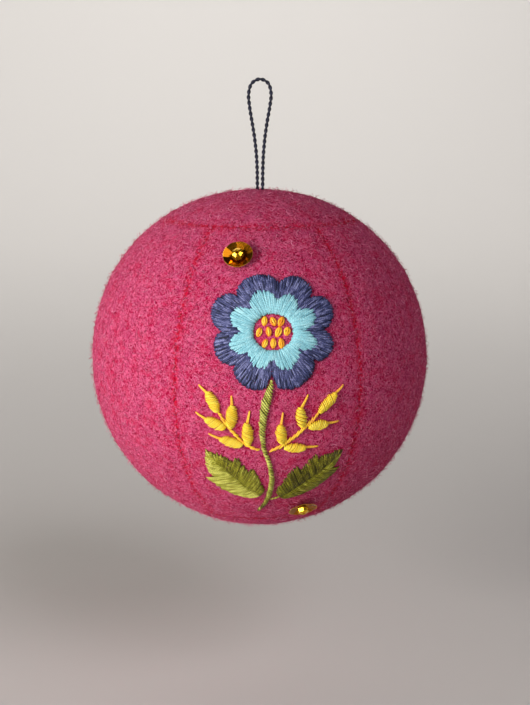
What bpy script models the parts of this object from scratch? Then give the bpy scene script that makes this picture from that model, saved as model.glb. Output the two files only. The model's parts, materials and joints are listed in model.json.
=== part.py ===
# Embroidered felt bauble: a stuffed wool ball of six side panels and two round caps, with a
# satin-stitched flower on its front panel, two cup sequins with beads, and a hanging loop of cord.
#
# The ball hangs from its loop. The origin is inside the top of the loop, where a twig or a hook
# bears on it. Z points up and the embroidered panel faces -Y. All lengths are in metres.

import math

import bmesh
import bpy
from mathutils import Matrix, Vector

MM = 0.001

# The ball
BALL_RADIUS = 42.0 * MM
PANEL_COUNT = 6
CAP_LATITUDE = math.radians(56.0)
GAP = 0.3 * MM

# How far the seams draw the felt in: a narrow crease, and the panels' broad crown beside it
CREASE_DEPTH = 0.15 * MM
CREASE_REACH = 0.7 * MM
CAP_SEAM_CROWN = 0.15 * MM
SIDE_SEAM_CROWN = 0.2 * MM
CROWN_REACH = 5.0 * MM

# Hand stuffing leaves the ball a little out of round, with full shoulders
OUT_OF_ROUND = 0.2 * MM
SHOULDER_RISE = 0.6 * MM
LEAN = 0.2 * MM

# The hanging loop: a thin cord, both ends sewn into the top cap
CORD_DIAMETER = 1.0 * MM
LOOP_HEIGHT = 26.0 * MM

# Embroidery: how far the satin stitches stand above the felt
EDGE_RISE = 0.25 * MM
PETAL_RISE = 0.75 * MM
SEED_RISE = 0.45 * MM
STEM_RISE = 0.55 * MM
STALK_RISE = 0.25 * MM
BUD_RISE = 0.75 * MM
LEAF_RISE = 0.55 * MM

# The flower: eight lobes, listed clockwise from the notch at its top
FLOWER_CENTRE = (1.0 * MM, 14.1 * MM)
FIRST_NOTCH = math.radians(82.0)
LOBES = (
    # (span in degrees, reach of the navy lobe, reach of the turquoise one), in millimetres
    (41, 14.0, 9.2),
    (41, 14.6, 10.2),
    (35, 14.3, 10.3),
    (57, 13.5, 8.8),
    (48, 13.7, 8.6),
    (40, 13.9, 10.3),
    (46, 14.6, 10.2),
    (52, 13.7, 9.7),
)
NAVY_NOTCH = 10.8 * MM
BLUE_NOTCH = 6.9 * MM

# Over the stem the lobes part further: (depth of the notch, how far its sides rise), by colour
NAVY_STEM_NOTCH = (9.2 * MM, 7.5 * MM)
BLUE_STEM_NOTCH = (5.8 * MM, 2.8 * MM)
STEM_NOTCH_ANGLE = math.radians(-92.0)
STEM_NOTCH_SPREAD = math.radians(15.0)
HEART_RADIUS = 4.3 * MM
COLOUR_GAP = 0.5 * MM
STEPS_PER_LOBE = 10
RING_PROFILE = (0.0, 0.12, 0.35, 0.65, 0.88, 1.0)

# The flower's heart: rows of seed stitches, from its top row down
SEED_LENGTH = 2.0 * MM
SEED_WIDTH = 1.25 * MM
SEED_ROWS = (
    # (up from the flower's centre, first stitch across, pitch, stitches), in millimetres
    (2.4, -1.75, 1.8, 3),
    (0.1, -3.05, 2.07, 4),
    (-2.45, -1.85, 1.85, 3),
)

# Stem: millimetres across and up the front panel, and the half width there
STEM = (
    (0.6, 3.45, 0.2),
    (0.1, 1.2, 0.75),
    (-0.6, -0.9, 0.95),
    (-1.05, -3.4, 0.95),
    (-1.35, -6.0, 0.8),
    (-1.45, -9.0, 0.58),
    (-0.9, -12.8, 0.44),
    (0.25, -16.6, 0.46),
    (0.95, -21.0, 0.52),
    (0.75, -25.2, 0.55),
    (-0.2, -30.0, 0.45),
    (-1.9, -34.6, 0.15),
)

# Stalks of the two sprigs, in the same three columns
STALKS = {
    "left": (
        (-2.0, -12.85, 0.2),
        (-3.7, -12.25, 0.3),
        (-5.4, -11.2, 0.32),
        (-7.4, -9.1, 0.3),
        (-9.1, -7.0, 0.32),
        (-10.3, -5.3, 0.28),
        (-10.9, -4.3, 0.2),
    ),
    "right": (
        (0.15, -13.15, 0.25),
        (2.05, -12.5, 0.38),
        (4.1, -10.9, 0.38),
        (6.2, -9.25, 0.36),
        (8.1, -7.5, 0.36),
        (9.7, -5.95, 0.34),
        (10.9, -4.6, 0.22),
    ),
}

# Buds: (name, base across, base up, direction in degrees, length, width, tail length, tail
# direction in degrees), lengths in millimetres
BUDS = (
    ("left_1", -4.4, -11.0, 96, 5.0, 2.7, 3.0, 80),
    ("left_2", -6.2, -11.4, 167, 4.8, 2.6, 3.2, 160),
    ("left_3", -8.3, -6.9, 87, 4.8, 2.9, 2.4, 94),
    ("left_4", -9.95, -7.3, 160, 4.6, 2.6, 3.0, 150),
    ("left_5", -11.5, -3.4, 119, 4.7, 2.7, 2.7, 140),
    ("right_1", 3.0, -10.8, 97, 4.2, 2.6, 3.2, 82),
    ("right_2", 3.9, -12.4, -2, 4.4, 2.4, 3.4, -1),
    ("right_3", 7.5, -6.9, 99, 4.3, 2.6, 3.5, 62),
    ("right_4", 9.3, -7.4, 6, 4.1, 2.5, 3.3, 4),
    ("right_5", 11.6, -3.9, 47, 5.3, 2.5, 2.9, 41),
)
BUD_STEPS = 7
TAIL_STEPS = 3
TAIL_HALF_WIDTH = 0.24 * MM
TAIL_RISE = 0.15

# Leaves: (name, base across, base up, direction in degrees, length), in millimetres, then for the
# edge on the left of that direction and for the one on its right, the width and the places of the
# teeth as shares of the length
LEAVES = (
    ("left", -1.6, -27.1, 133, 17.1, (5.8, (0.64,)), (4.5, (0.4, 0.7))),
    ("right", 2.9, -27.9, 42, 19.2, (5.0, (0.44, 0.74)), (4.4, (0.8,))),
)
LEAF_TOOTH = 1.9 * MM
LEAF_LEAN = math.radians(38.0)
LEAF_FAN = 0.74
LEAF_STEPS = 24
LEAF_STALK = ((1.35, -28.75, 0.2), (1.9, -28.5, 0.25), (2.45, -28.35, 0.2))

# Cup sequins and the beads that hold them: (name, across, up), in millimetres
SEQUINS = (
    ("upper", -6.2, 31.7),
    ("lower", 8.6, -32.7),
)
SEQUIN_RADIUS = 3.3 * MM
SEQUIN_DEPTH = 0.9 * MM
SEQUIN_THICKNESS = 0.25 * MM
SEQUIN_HOLE = 0.55 * MM
BEAD_RADIUS = 1.35 * MM
BEAD_HEIGHT = 1.8 * MM
BEAD_HOLE = 0.4 * MM
TURNED_STEPS = 24

# The loop's centreline as it hangs from a thin twig: (across, up from the origin), in millimetres
LOOP_ROUTE = (
    (-0.65, -25.65),
    (-0.66, -23.8),
    (-0.72, -20.5),
    (-0.95, -16.8),
    (-1.4, -13.0),
    (-2.0, -9.3),
    (-2.55, -5.9),
    (-2.75, -3.0),
    (-2.0, -0.5),
    (0.0, 0.5),
    (2.0, -0.5),
    (2.7, -3.0),
    (2.4, -5.9),
    (1.8, -9.3),
    (1.25, -13.0),
    (0.88, -16.8),
    (0.7, -20.5),
    (0.66, -23.8),
    (0.65, -25.65),
)
LOOP_STEPS = 40

# Colours of the materials: (red, green, blue, roughness, metallic)
FINISHES = {
    "felt_pink": (0.52, 0.075, 0.16, 0.95, 0.0),
    "thread_navy": (0.075, 0.085, 0.18, 0.6, 0.0),
    "thread_turquoise": (0.32, 0.65, 0.70, 0.6, 0.0),
    "thread_orange": (0.86, 0.42, 0.08, 0.6, 0.0),
    "thread_yellow": (0.83, 0.53, 0.07, 0.6, 0.0),
    "thread_green": (0.27, 0.27, 0.05, 0.6, 0.0),
    "sequin_gold": (0.60, 0.34, 0.05, 0.2, 1.0),
    "bead_gold": (0.80, 0.52, 0.10, 0.2, 1.0),
    "cord_navy": (0.010, 0.013, 0.035, 0.7, 0.0),
}

PANEL_SPAN = 2.0 * math.pi / PANEL_COUNT


def finish(name):
    """The material of that name, made once."""
    made = bpy.data.materials.get(name)
    if made is None:
        red, green, blue, roughness, metallic = FINISHES[name]
        made = bpy.data.materials.new(name)
        made.use_nodes = True
        shader = made.node_tree.nodes["Principled BSDF"]
        shader.inputs["Base Color"].default_value = (red, green, blue, 1.0)
        shader.inputs["Roughness"].default_value = roughness
        shader.inputs["Metallic"].default_value = metallic
    return made


def add_solid(name, points, faces, material, smooth=True):
    """One closed mesh object whose faces point outwards."""
    mesh = bpy.data.meshes.new(name)
    mesh.from_pydata(points, [], faces)
    solid = bmesh.new()
    solid.from_mesh(mesh)
    bmesh.ops.recalc_face_normals(solid, faces=solid.faces)
    if solid.calc_volume(signed=True) < 0.0:
        bmesh.ops.reverse_faces(solid, faces=solid.faces)
    solid.to_mesh(mesh)
    solid.free()
    if smooth:
        mesh.shade_smooth()
        mesh.set_sharp_from_angle(angle=math.radians(40.0))
    mesh.materials.append(finish(material))
    made = bpy.data.objects.new(name, mesh)
    bpy.context.scene.collection.objects.link(made)
    return made


def seam_dip(away, crown):
    """How far a seam draws the felt in at a distance from it along the surface."""
    return CREASE_DEPTH * math.exp(-away / CREASE_REACH) + crown * math.exp(-away / CROWN_REACH)


def ball_radius(azimuth, latitude):
    """The felt's distance from the ball's centre, drawn in at the seams and a little uneven."""
    dip = seam_dip(BALL_RADIUS * abs(abs(latitude) - CAP_LATITUDE), CAP_SEAM_CROWN)
    if abs(latitude) <= CAP_LATITUDE:
        off_centre = abs((azimuth + PANEL_SPAN / 2.0) % PANEL_SPAN - PANEL_SPAN / 2.0)
        to_side = BALL_RADIUS * math.cos(latitude) * (PANEL_SPAN / 2.0 - off_centre)
        dip = max(dip, seam_dip(to_side, SIDE_SEAM_CROWN))
    lump = math.sin(2.0 * azimuth + 0.6) * math.cos(latitude) ** 2
    lump += 0.6 * math.sin(3.0 * azimuth - 1.1) * math.sin(2.0 * latitude) * math.cos(latitude)
    shoulder = SHOULDER_RISE * math.sin(2.0 * max(latitude, 0.0)) ** 2
    lean = LEAN * math.sin(azimuth) * math.cos(latitude)
    return BALL_RADIUS - dip + OUT_OF_ROUND * lump + shoulder - lean


BALL_CENTRE = Vector((0.0, 0.0, -LOOP_HEIGHT - ball_radius(0.0, math.pi / 2.0)))


def outward(azimuth, latitude):
    """The direction from the ball's centre: azimuth 0 is -Y, and it grows towards +X."""
    flat = math.cos(latitude)
    return Vector((math.sin(azimuth) * flat, -math.cos(azimuth) * flat, math.sin(latitude)))


def on_ball(azimuth, latitude, lift=0.0):
    """The point that stands lift above the felt."""
    return BALL_CENTRE + outward(azimuth, latitude) * (ball_radius(azimuth, latitude) + lift)


def on_panel(across, up, lift):
    """The point at these distances along the felt from the middle of the front panel."""
    latitude = up / BALL_RADIUS
    azimuth = across / (BALL_RADIUS * math.cos(latitude))
    return on_ball(azimuth, latitude, lift)


def seam_height(side):
    """The height above the ball's centre where a cap is sewn on: side 1 is the top, -1 the bottom."""
    return side * ball_radius(0.0, side * CAP_LATITUDE) * math.sin(CAP_LATITUDE)


def latitude_at_height(azimuth, height):
    """The latitude where the felt is at that height above the ball's centre."""
    latitude = math.asin(height / BALL_RADIUS)
    for _ in range(12):
        latitude = math.asin(height / ball_radius(azimuth, latitude))
    return latitude


def eased(count):
    """Numbers from -1 to 1, closer together towards both ends, where the seams are."""
    steps = [2.0 * i / count - 1.0 for i in range(count + 1)]
    return [math.sin(step * math.pi / 2.0) * 0.75 + step * 0.25 for step in steps]


def side_panel(name, middle, columns=14, rows=22):
    """A side panel with its share of the stuffing: a wedge of the ball between the two caps."""
    half_gap = GAP / 2.0
    ends = {side: seam_height(side) - side * half_gap for side in (1.0, -1.0)}
    points = []
    for row in eased(rows):
        for column in eased(columns):
            latitude = row * CAP_LATITUDE
            azimuth = middle + column * PANEL_SPAN / 2.0
            if abs(row) == 1.0:
                latitude = latitude_at_height(azimuth, ends[row])
            if abs(column) == 1.0:
                reach = ball_radius(azimuth, latitude) * math.cos(latitude)
                azimuth -= math.copysign(math.asin(half_gap / reach), column)
                if abs(row) == 1.0:
                    latitude = latitude_at_height(azimuth, ends[row])
            points.append(on_ball(azimuth, latitude))
    wide = columns + 1
    tip = BALL_CENTRE + outward(middle, 0.0) * (half_gap / math.sin(PANEL_SPAN / 2.0))
    for row in range(rows + 1):
        edge = points[row * wide]
        points.append(Vector((tip.x, tip.y, edge.z)))
    core = (rows + 1) * wide
    faces = []
    for row in range(rows):
        low, high = row * wide, (row + 1) * wide
        for column in range(columns):
            faces.append((low + column, low + column + 1, high + column + 1, high + column))
        faces.append((core + row, low, high, core + row + 1))
        faces.append((low + columns, core + row, core + row + 1, high + columns))
    last = rows * wide
    for column in range(columns):
        faces.append((core, column + 1, column))
        faces.append((core + rows, last + column, last + column + 1))
    return add_solid(name, points, faces, "felt_pink")


def round_cap(name, side, around=48, rings=9):
    """The top cap (side 1) or the bottom one (side -1), flat where it meets the side panels."""
    points = []
    base = seam_height(side) + side * GAP / 2.0
    for ring in range(rings):
        share = 1.0 - (ring / rings) ** 1.35
        for step in range(around):
            azimuth = 2.0 * math.pi * step / around
            rim = latitude_at_height(azimuth, base)
            pole = side * math.pi / 2.0
            points.append(on_ball(azimuth, pole + share * (rim - pole)))
    points.append(on_ball(0.0, side * math.pi / 2.0))
    points.append(BALL_CENTRE + Vector((0.0, 0.0, base)))
    crown, middle = len(points) - 2, len(points) - 1
    faces = []
    for step in range(around):
        after = (step + 1) % around
        for ring in range(rings - 1):
            low, high = ring * around, (ring + 1) * around
            faces.append((low + step, low + after, high + after, high + step))
        inmost = (rings - 1) * around
        faces.append((inmost + step, inmost + after, crown))
        faces.append((after, step, middle))
    return add_solid(name, points, faces, "felt_pink")


def raised_patch(name, rows, material, ring=False):
    """A stitched shape lying on the felt, GAP above it, with a domed top.

    rows holds rows of (across, up, rise). Where ring is set, the last row meets the first.
    """
    long, wide = len(rows), len(rows[0])
    flat = [place for row in rows for place in row]
    points = [on_panel(across, up, GAP + EDGE_RISE + rise) for across, up, rise in flat]
    points += [on_panel(across, up, GAP) for across, up, rise in flat]
    under = long * wide
    faces = []
    for row in range(long if ring else long - 1):
        low, high = row * wide, (row + 1) % long * wide
        for column in range(wide - 1):
            quad = (low + column, low + column + 1, high + column + 1, high + column)
            faces.append(quad)
            faces.append(tuple(corner + under for corner in reversed(quad)))
        for column in (0, wide - 1):
            first, second = low + column, high + column
            wall = (first, second, second + under, first + under)
            faces.append(wall if column == 0 else tuple(reversed(wall)))
    if not ring:
        for row in (0, (long - 1) * wide):
            for column in range(row, row + wide - 1):
                wall = (column + 1, column, column + under, column + 1 + under)
                faces.append(wall if row == 0 else tuple(reversed(wall)))
    return add_solid(name, points, faces, material)


def smooth_through(route, count):
    """count + 1 points, evenly placed, on one smooth curve through the route's own points."""
    places = [Vector(place) for place in route]
    ends = [2.0 * places[0] - places[1], *places, 2.0 * places[-1] - places[-2]]
    fine = []
    parts = 16
    for before, first, second, after in zip(ends, ends[1:], ends[2:], ends[3:]):
        for part in range(parts):
            t = part / parts
            fine.append(
                0.5
                * (
                    2.0 * first
                    + (second - before) * t
                    + (2.0 * before - 5.0 * first + 4.0 * second - after) * t**2
                    + (3.0 * first - before - 3.0 * second + after) * t**3
                )
            )
    fine.append(places[-1])
    lengths = [0.0]
    for first, second in zip(fine, fine[1:]):
        lengths.append(lengths[-1] + (second - first).length)
    spaced, seen = [], 0
    for step in range(count + 1):
        wanted = lengths[-1] * step / count
        while seen < len(fine) - 2 and lengths[seen + 1] < wanted:
            seen += 1
        share = (wanted - lengths[seen]) / (lengths[seen + 1] - lengths[seen])
        spaced.append(fine[seen].lerp(fine[seen + 1], min(share, 1.0)))
    return spaced


def strip_rows(spine, rises, columns=5):
    """Rows across a spine of (across, up, half width) points, domed from edge to edge."""
    rows = []
    for step, place in enumerate(spine):
        ahead = spine[min(step + 1, len(spine) - 1)]
        behind = spine[max(step - 1, 0)]
        along = Vector((ahead[0] - behind[0], ahead[1] - behind[1])).normalized()
        row = []
        for column in range(columns):
            side = 2.0 * column / (columns - 1) - 1.0
            reach = place[2] * side
            dome = math.sqrt(1.0 - side**2) * rises[step]
            row.append((place[0] + along.y * reach, place[1] - along.x * reach, dome))
        rows.append(row)
    return rows


def tapered_strip(name, route, rise, steps, material):
    """A line of stitches along a route of (across, up, half width) rows in millimetres."""
    spine = smooth_through([Vector(row) * MM for row in route], steps)
    widest = max(place[2] for place in spine)
    rises = [rise * (place[2] / widest) ** 0.5 for place in spine]
    return raised_patch(name, strip_rows(spine, rises), material)


def lobed_radius(angle, notch, colour, roundness):
    """The outline of one colour of the flower: rounded lobes that meet in notches.

    colour is the column of LOBES: 1 for navy and 2 for turquoise.
    """
    turned = math.degrees(FIRST_NOTCH - angle) % 360.0
    start = 0.0
    for row in LOBES:
        span = row[0]
        if turned < start + span:
            break
        start += span
    across = min(max(2.0 * (turned - start) / span - 1.0, -1.0), 1.0)
    swell = (1.0 - abs(across) ** roundness) ** (1.0 / roundness)
    return notch + (row[colour] * MM - notch) * swell


def beside_stem(angle, notch):
    """The outline of the deep notch over the stem."""
    off_stem = abs((angle - STEM_NOTCH_ANGLE + math.pi) % (2.0 * math.pi) - math.pi)
    return notch[0] + notch[1] * off_stem / STEM_NOTCH_SPREAD


def petal_ring(name, inner, outer, rise, material):
    """A ring of satin stitches between two outlines, padded in its middle."""
    angles = []
    turned = 0.0
    for span, navy_reach, blue_reach in LOBES:
        for step in range(STEPS_PER_LOBE):
            angles.append(FIRST_NOTCH - math.radians(turned + span * step / STEPS_PER_LOBE))
        turned += span
    rows = []
    for angle in angles:
        near, far = inner(angle), outer(angle)
        row = []
        for share in RING_PROFILE:
            reach = near + (far - near) * share
            dome = rise * math.sqrt(1.0 - (2.0 * share - 1.0) ** 2)
            across = FLOWER_CENTRE[0] + reach * math.cos(angle)
            up = FLOWER_CENTRE[1] + reach * math.sin(angle)
            row.append((across, up, dome))
        rows.append(row)
    return raised_patch(name, rows, material, ring=True)


def flower():
    """Navy outer petals, turquoise inner ones, and the orange seed stitches of the heart."""

    def blue_edge(angle):
        return min(lobed_radius(angle, BLUE_NOTCH, 2, 1.7), beside_stem(angle, BLUE_STEM_NOTCH))

    def navy_edge(angle):
        return min(lobed_radius(angle, NAVY_NOTCH, 1, 1.9), beside_stem(angle, NAVY_STEM_NOTCH))

    petal_ring("petals_navy", lambda a: blue_edge(a) + COLOUR_GAP, navy_edge, PETAL_RISE, "thread_navy")
    petal_ring("petals_turquoise", lambda a: HEART_RADIUS, blue_edge, PETAL_RISE, "thread_turquoise")
    number = 0
    for up, first, pitch, stitches in SEED_ROWS:
        for stitch in range(stitches):
            number += 1
            across = FLOWER_CENTRE[0] + (first + pitch * stitch) * MM
            middle = FLOWER_CENTRE[1] + up * MM
            seed_stitch(f"seed_{number:02d}", across, middle)


def seed_stitch(name, across, up, steps=4):
    """One fat upright stitch."""
    spine = []
    for step in range(steps + 1):
        share = math.sin(math.pi * (step / steps - 0.5))
        half_width = SEED_WIDTH / 2.0 * math.sqrt(1.06 - share**2)
        spine.append((across, up + share * SEED_LENGTH / 2.0, half_width))
    rises = [SEED_RISE * place[2] / (SEED_WIDTH / 2.0) for place in spine]
    return raised_patch(name, strip_rows(spine, rises), "thread_orange")


def bud(name, across, up, turn, length, width, tail, tail_turn):
    """A satin-stitched bud with one straight stitch as its tail."""
    along = Vector((math.cos(math.radians(turn)), math.sin(math.radians(turn)))) * MM
    tail_along = Vector((math.cos(math.radians(tail_turn)), math.sin(math.radians(tail_turn)))) * MM
    base = Vector((across, up)) * MM
    spine, rises = [], []
    for step in range(BUD_STEPS + 1):
        share = step / BUD_STEPS
        swell = math.sin(math.pi * (0.05 + 0.9 * share)) ** 0.55
        place = base + along * (length * share)
        spine.append((place.x, place.y, max(width * MM / 2.0 * swell, TAIL_HALF_WIDTH)))
        rises.append(BUD_RISE * swell)
    tip = base + along * length
    for step in range(1, TAIL_STEPS + 1):
        share = step / TAIL_STEPS
        place = tip + tail_along * (tail * share)
        spine.append((place.x, place.y, TAIL_HALF_WIDTH * (1.0 - 0.5 * share)))
        rises.append(TAIL_RISE * MM * (1.0 - 0.5 * share))
    return raised_patch(f"bud_{name}", strip_rows(spine, rises), "thread_yellow")


def leaf_reach(share, width, teeth):
    """How far a leaf's stitches reach from its vein: a broad oval with teeth that point forwards."""
    body = width * MM * math.sin(math.pi * (0.07 + 0.78 * share) ** 0.85) ** 0.75
    behind = max([0.0, *(tooth for tooth in teeth if tooth < share)])
    ahead = min([1.0, *(tooth for tooth in teeth if tooth >= share)])
    rise = (share - behind) / (ahead - behind)
    notch = 0.55 if behind > 0.0 else 0.0
    return body + LEAF_TOOTH * (0.5 * rise**3 - notch * (1.0 - rise) ** 2)


def leaf(name, across, up, turn, length, left_edge, right_edge):
    """A toothed leaf: its stitches slant forwards from the vein along its middle."""
    base = Vector((across, up)) * MM
    heading = math.radians(turn)
    vein = Vector((math.cos(heading), math.sin(heading)))
    rows = []
    for step in range(LEAF_STEPS + 1):
        share = step / LEAF_STEPS
        foot = base + vein * (length * MM * (0.02 + 0.98 * share) * 0.86)
        row = []
        for side, (width, teeth) in ((1.0, left_edge), (-1.0, right_edge)):
            fan = max(share - LEAF_FAN, 0.0) / (1.0 - LEAF_FAN)
            lean = LEAF_LEAN * (0.35 + 0.65 * share)
            slant = heading + side * (math.pi / 2.0 - lean) * (1.0 - fan**1.5)
            stitch = Vector((math.cos(slant), math.sin(slant)))
            reach = leaf_reach(share, width, teeth)
            for part in (1.0, 0.55) if side > 0.0 else (0.55, 1.0):
                place = foot + stitch * (reach * part)
                dome = LEAF_RISE * math.sqrt(1.0 - part**2) * min(1.0, reach / MM)
                row.append((place.x, place.y, dome))
            if side > 0.0:
                row.append((foot.x, foot.y, 0.6 * LEAF_RISE * min(1.0, reach / MM)))
        rows.append(row)
    return raised_patch(f"leaf_{name}", rows, "thread_green")


def turned_solid(name, profile, place, material):
    """A profile of (radius, height) points turned about the felt's normal at a place on it."""
    across, up = place
    foot = on_panel(across, up, 0.0)
    normal = (foot - BALL_CENTRE).normalized()
    stand = normal.to_track_quat("Z", "Y").to_matrix().to_4x4()
    points = []
    for step in range(TURNED_STEPS):
        turn = Matrix.Rotation(2.0 * math.pi * step / TURNED_STEPS, 3, "Z")
        points += [turn @ Vector((radius, 0.0, height)) for radius, height in profile]
    count = len(profile)
    faces = []
    for step in range(TURNED_STEPS):
        low, high = step * count, (step + 1) % TURNED_STEPS * count
        for corner in range(count):
            after = (corner + 1) % count
            faces.append((low + corner, high + corner, high + after, low + after))
    made = add_solid(name, points, faces, material)
    made.matrix_world = Matrix.Translation(foot) @ stand
    return made


def sequin(name, across, up):
    """A cup sequin, open outwards, with the bead that holds it in its hollow."""
    place = (across * MM, up * MM)
    inner, outer = [], []
    for step in range(5):
        share = step / 4.0
        radius = SEQUIN_HOLE + (SEQUIN_RADIUS - SEQUIN_HOLE) * share
        height = GAP + SEQUIN_DEPTH * share**1.6
        inner.append((radius, height + SEQUIN_THICKNESS))
        outer.append((radius, height))
    turned_solid(f"sequin_{name}", outer + inner[::-1], place, "sequin_gold")
    foot = 2.2 * GAP + SEQUIN_THICKNESS
    bead_profile = [(BEAD_HOLE, foot + 0.2 * MM), (BEAD_HOLE, foot + BEAD_HEIGHT - 0.2 * MM)]
    for step in range(7):
        turn = math.pi / 2.0 - math.pi * step / 6.0
        radius = BEAD_HOLE + (BEAD_RADIUS - BEAD_HOLE) * (0.35 + 0.65 * math.cos(turn))
        bead_profile.append((radius, foot + BEAD_HEIGHT / 2.0 * (1.0 + math.sin(turn))))
    turned_solid(f"bead_{name}", bead_profile, place, "bead_gold")


def hanging_loop():
    """The cord, up from the top cap, over the twig's place and down again."""
    route = [Vector((across, 0.0, up)) * MM for across, up in LOOP_ROUTE]
    line = smooth_through(route, LOOP_STEPS)
    curve = bpy.data.curves.new("hanging_loop", "CURVE")
    curve.dimensions = "3D"
    curve.bevel_depth = CORD_DIAMETER / 2.0
    curve.bevel_resolution = 2
    curve.use_fill_caps = True
    spline = curve.splines.new("POLY")
    spline.points.add(len(line) - 1)
    for point, place in zip(spline.points, line):
        point.co = (*place, 1.0)
    curve.materials.append(finish("cord_navy"))
    made = bpy.data.objects.new("hanging_loop", curve)
    bpy.context.scene.collection.objects.link(made)
    return made


def build():
    for leftover in list(bpy.data.objects):
        bpy.data.objects.remove(leftover)
    for number in range(PANEL_COUNT):
        side_panel(f"panel_{number + 1}", number * PANEL_SPAN)
    round_cap("cap_top", 1)
    round_cap("cap_bottom", -1)
    flower()
    tapered_strip("stem", STEM, STEM_RISE, 24, "thread_green")
    for side, route in STALKS.items():
        tapered_strip(f"stalk_{side}", route, STALK_RISE, 14, "thread_yellow")
    for row in BUDS:
        bud(*row)
    for row in LEAVES:
        leaf(*row)
    tapered_strip("leaf_stalk", LEAF_STALK, STALK_RISE, 3, "thread_green")
    for row in SEQUINS:
        sequin(*row)
    hanging_loop()


build()
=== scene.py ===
# Embroidered felt bauble: a stuffed wool ball with a satin-stitched flower, cup sequins and a
# hanging loop. The file follows the ball as it is made up: felt, seams, stitching, sequins, cord.

import json
import math
import random

import bmesh
import bpy
from mathutils import Matrix, Vector, kdtree, noise

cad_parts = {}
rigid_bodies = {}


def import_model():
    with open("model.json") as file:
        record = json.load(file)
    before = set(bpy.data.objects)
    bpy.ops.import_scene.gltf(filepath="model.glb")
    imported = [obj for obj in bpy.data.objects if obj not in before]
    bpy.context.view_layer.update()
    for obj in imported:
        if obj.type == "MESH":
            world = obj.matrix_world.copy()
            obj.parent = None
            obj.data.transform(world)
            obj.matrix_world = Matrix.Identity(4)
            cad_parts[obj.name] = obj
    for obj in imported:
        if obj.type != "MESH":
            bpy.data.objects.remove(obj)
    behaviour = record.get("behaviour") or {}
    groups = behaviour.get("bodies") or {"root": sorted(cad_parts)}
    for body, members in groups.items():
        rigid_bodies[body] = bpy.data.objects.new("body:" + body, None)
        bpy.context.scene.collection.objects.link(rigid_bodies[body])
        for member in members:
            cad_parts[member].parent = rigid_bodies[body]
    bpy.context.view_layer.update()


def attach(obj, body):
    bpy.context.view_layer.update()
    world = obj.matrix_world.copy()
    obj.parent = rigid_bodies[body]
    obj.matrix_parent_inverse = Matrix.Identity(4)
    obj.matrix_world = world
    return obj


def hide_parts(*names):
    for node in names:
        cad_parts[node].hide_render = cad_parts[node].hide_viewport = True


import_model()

# Felt panels: six side panels and two round caps of fulled pink wool, about 2 mm thick, sewn edge
# to edge and stuffed firm. The seams draw the felt in, and its surface is a little lumpy.

MM = 0.001
PER_MM = 1000.0
BALL_RADIUS = 42.0 * MM
PANEL_COUNT = 6
PANEL_SPAN = 2.0 * math.pi / PANEL_COUNT
CAP_LATITUDE = math.radians(56.0)
SEAM_GAP = 0.01 * MM
CREASE_DEPTH = 0.05 * MM
CREASE_REACH = 0.7 * MM
CAP_SEAM_CROWN = 0.12 * MM
SIDE_SEAM_CROWN = 0.2 * MM
CROWN_REACH = 5.0 * MM
OUT_OF_ROUND = 0.2 * MM
SHOULDER_RISE = 0.6 * MM
LEAN = 0.2 * MM
LUMP_SIZE = 5.0 * MM
LUMP_HEIGHT = 0.13 * MM
NUB_SIZE = 1.3 * MM
NUB_HEIGHT = 0.07 * MM
# How far the seams' red and painted crease shade reach into the felt
SEAM_TINT_AND_SHADE_REACH = 1.2 * MM
CORD_PIT = 0.5 * MM
CORD_PIT_REACH = 1.3 * MM
LOOP_HEIGHT = 26.0 * MM


def seam_dip(away, crown):
    """How far a seam draws the felt in at a distance from it along the surface."""
    return CREASE_DEPTH * math.exp(-away / CREASE_REACH) + crown * math.exp(-away / CROWN_REACH)


def seam_distances(azimuth, latitude):
    """Distances along the felt to the nearest cap seam and the nearest side seam."""
    to_cap = BALL_RADIUS * abs(abs(latitude) - CAP_LATITUDE)
    if abs(latitude) > CAP_LATITUDE + 1e-6:
        return to_cap, 1.0
    off_centre = abs((azimuth + PANEL_SPAN / 2.0) % PANEL_SPAN - PANEL_SPAN / 2.0)
    return to_cap, BALL_RADIUS * math.cos(latitude) * (PANEL_SPAN / 2.0 - off_centre)


def felt_radius(azimuth, latitude):
    """The felt's distance from the ball's centre, before its small lumps."""
    to_cap, to_side = seam_distances(azimuth, latitude)
    dip = max(seam_dip(to_cap, CAP_SEAM_CROWN), seam_dip(to_side, SIDE_SEAM_CROWN))
    uneven = math.sin(2.0 * azimuth + 0.6) * math.cos(latitude) ** 2
    uneven += 0.6 * math.sin(3.0 * azimuth - 1.1) * math.sin(2.0 * latitude) * math.cos(latitude)
    shoulder = SHOULDER_RISE * math.sin(2.0 * max(latitude, 0.0)) ** 2
    lean = LEAN * math.sin(azimuth) * math.cos(latitude)
    return BALL_RADIUS - dip + OUT_OF_ROUND * uneven + shoulder - lean


BALL_CENTRE = Vector((0.0, 0.0, -LOOP_HEIGHT - felt_radius(0.0, math.pi / 2.0)))


def outward(azimuth, latitude):
    """The direction from the ball's centre: azimuth 0 is -Y, and it grows towards +X."""
    flat = math.cos(latitude)
    return Vector((math.sin(azimuth) * flat, -math.cos(azimuth) * flat, math.sin(latitude)))


def on_ball(azimuth, latitude, lift=0.0):
    """The point that stands lift above the lumpy felt."""
    way = outward(azimuth, latitude)
    lump = LUMP_HEIGHT * noise.noise(way * (BALL_RADIUS / LUMP_SIZE))
    nub = NUB_HEIGHT * noise.noise(way * (BALL_RADIUS / NUB_SIZE) + Vector((7.0, 3.0, 1.0)))
    from_pole = BALL_RADIUS * (math.pi / 2.0 - latitude)
    pit = CORD_PIT * math.exp(-((from_pole / CORD_PIT_REACH) ** 2))
    return BALL_CENTRE + way * (felt_radius(azimuth, latitude) + lump + nub - pit + lift)


def closer_at_seams(count):
    """Numbers from -1 to 1, closer together towards both ends."""
    steps = [2.0 * i / count - 1.0 for i in range(count + 1)]
    return [math.sin(step * math.pi / 2.0) * 0.6 + step * 0.4 for step in steps]


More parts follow.
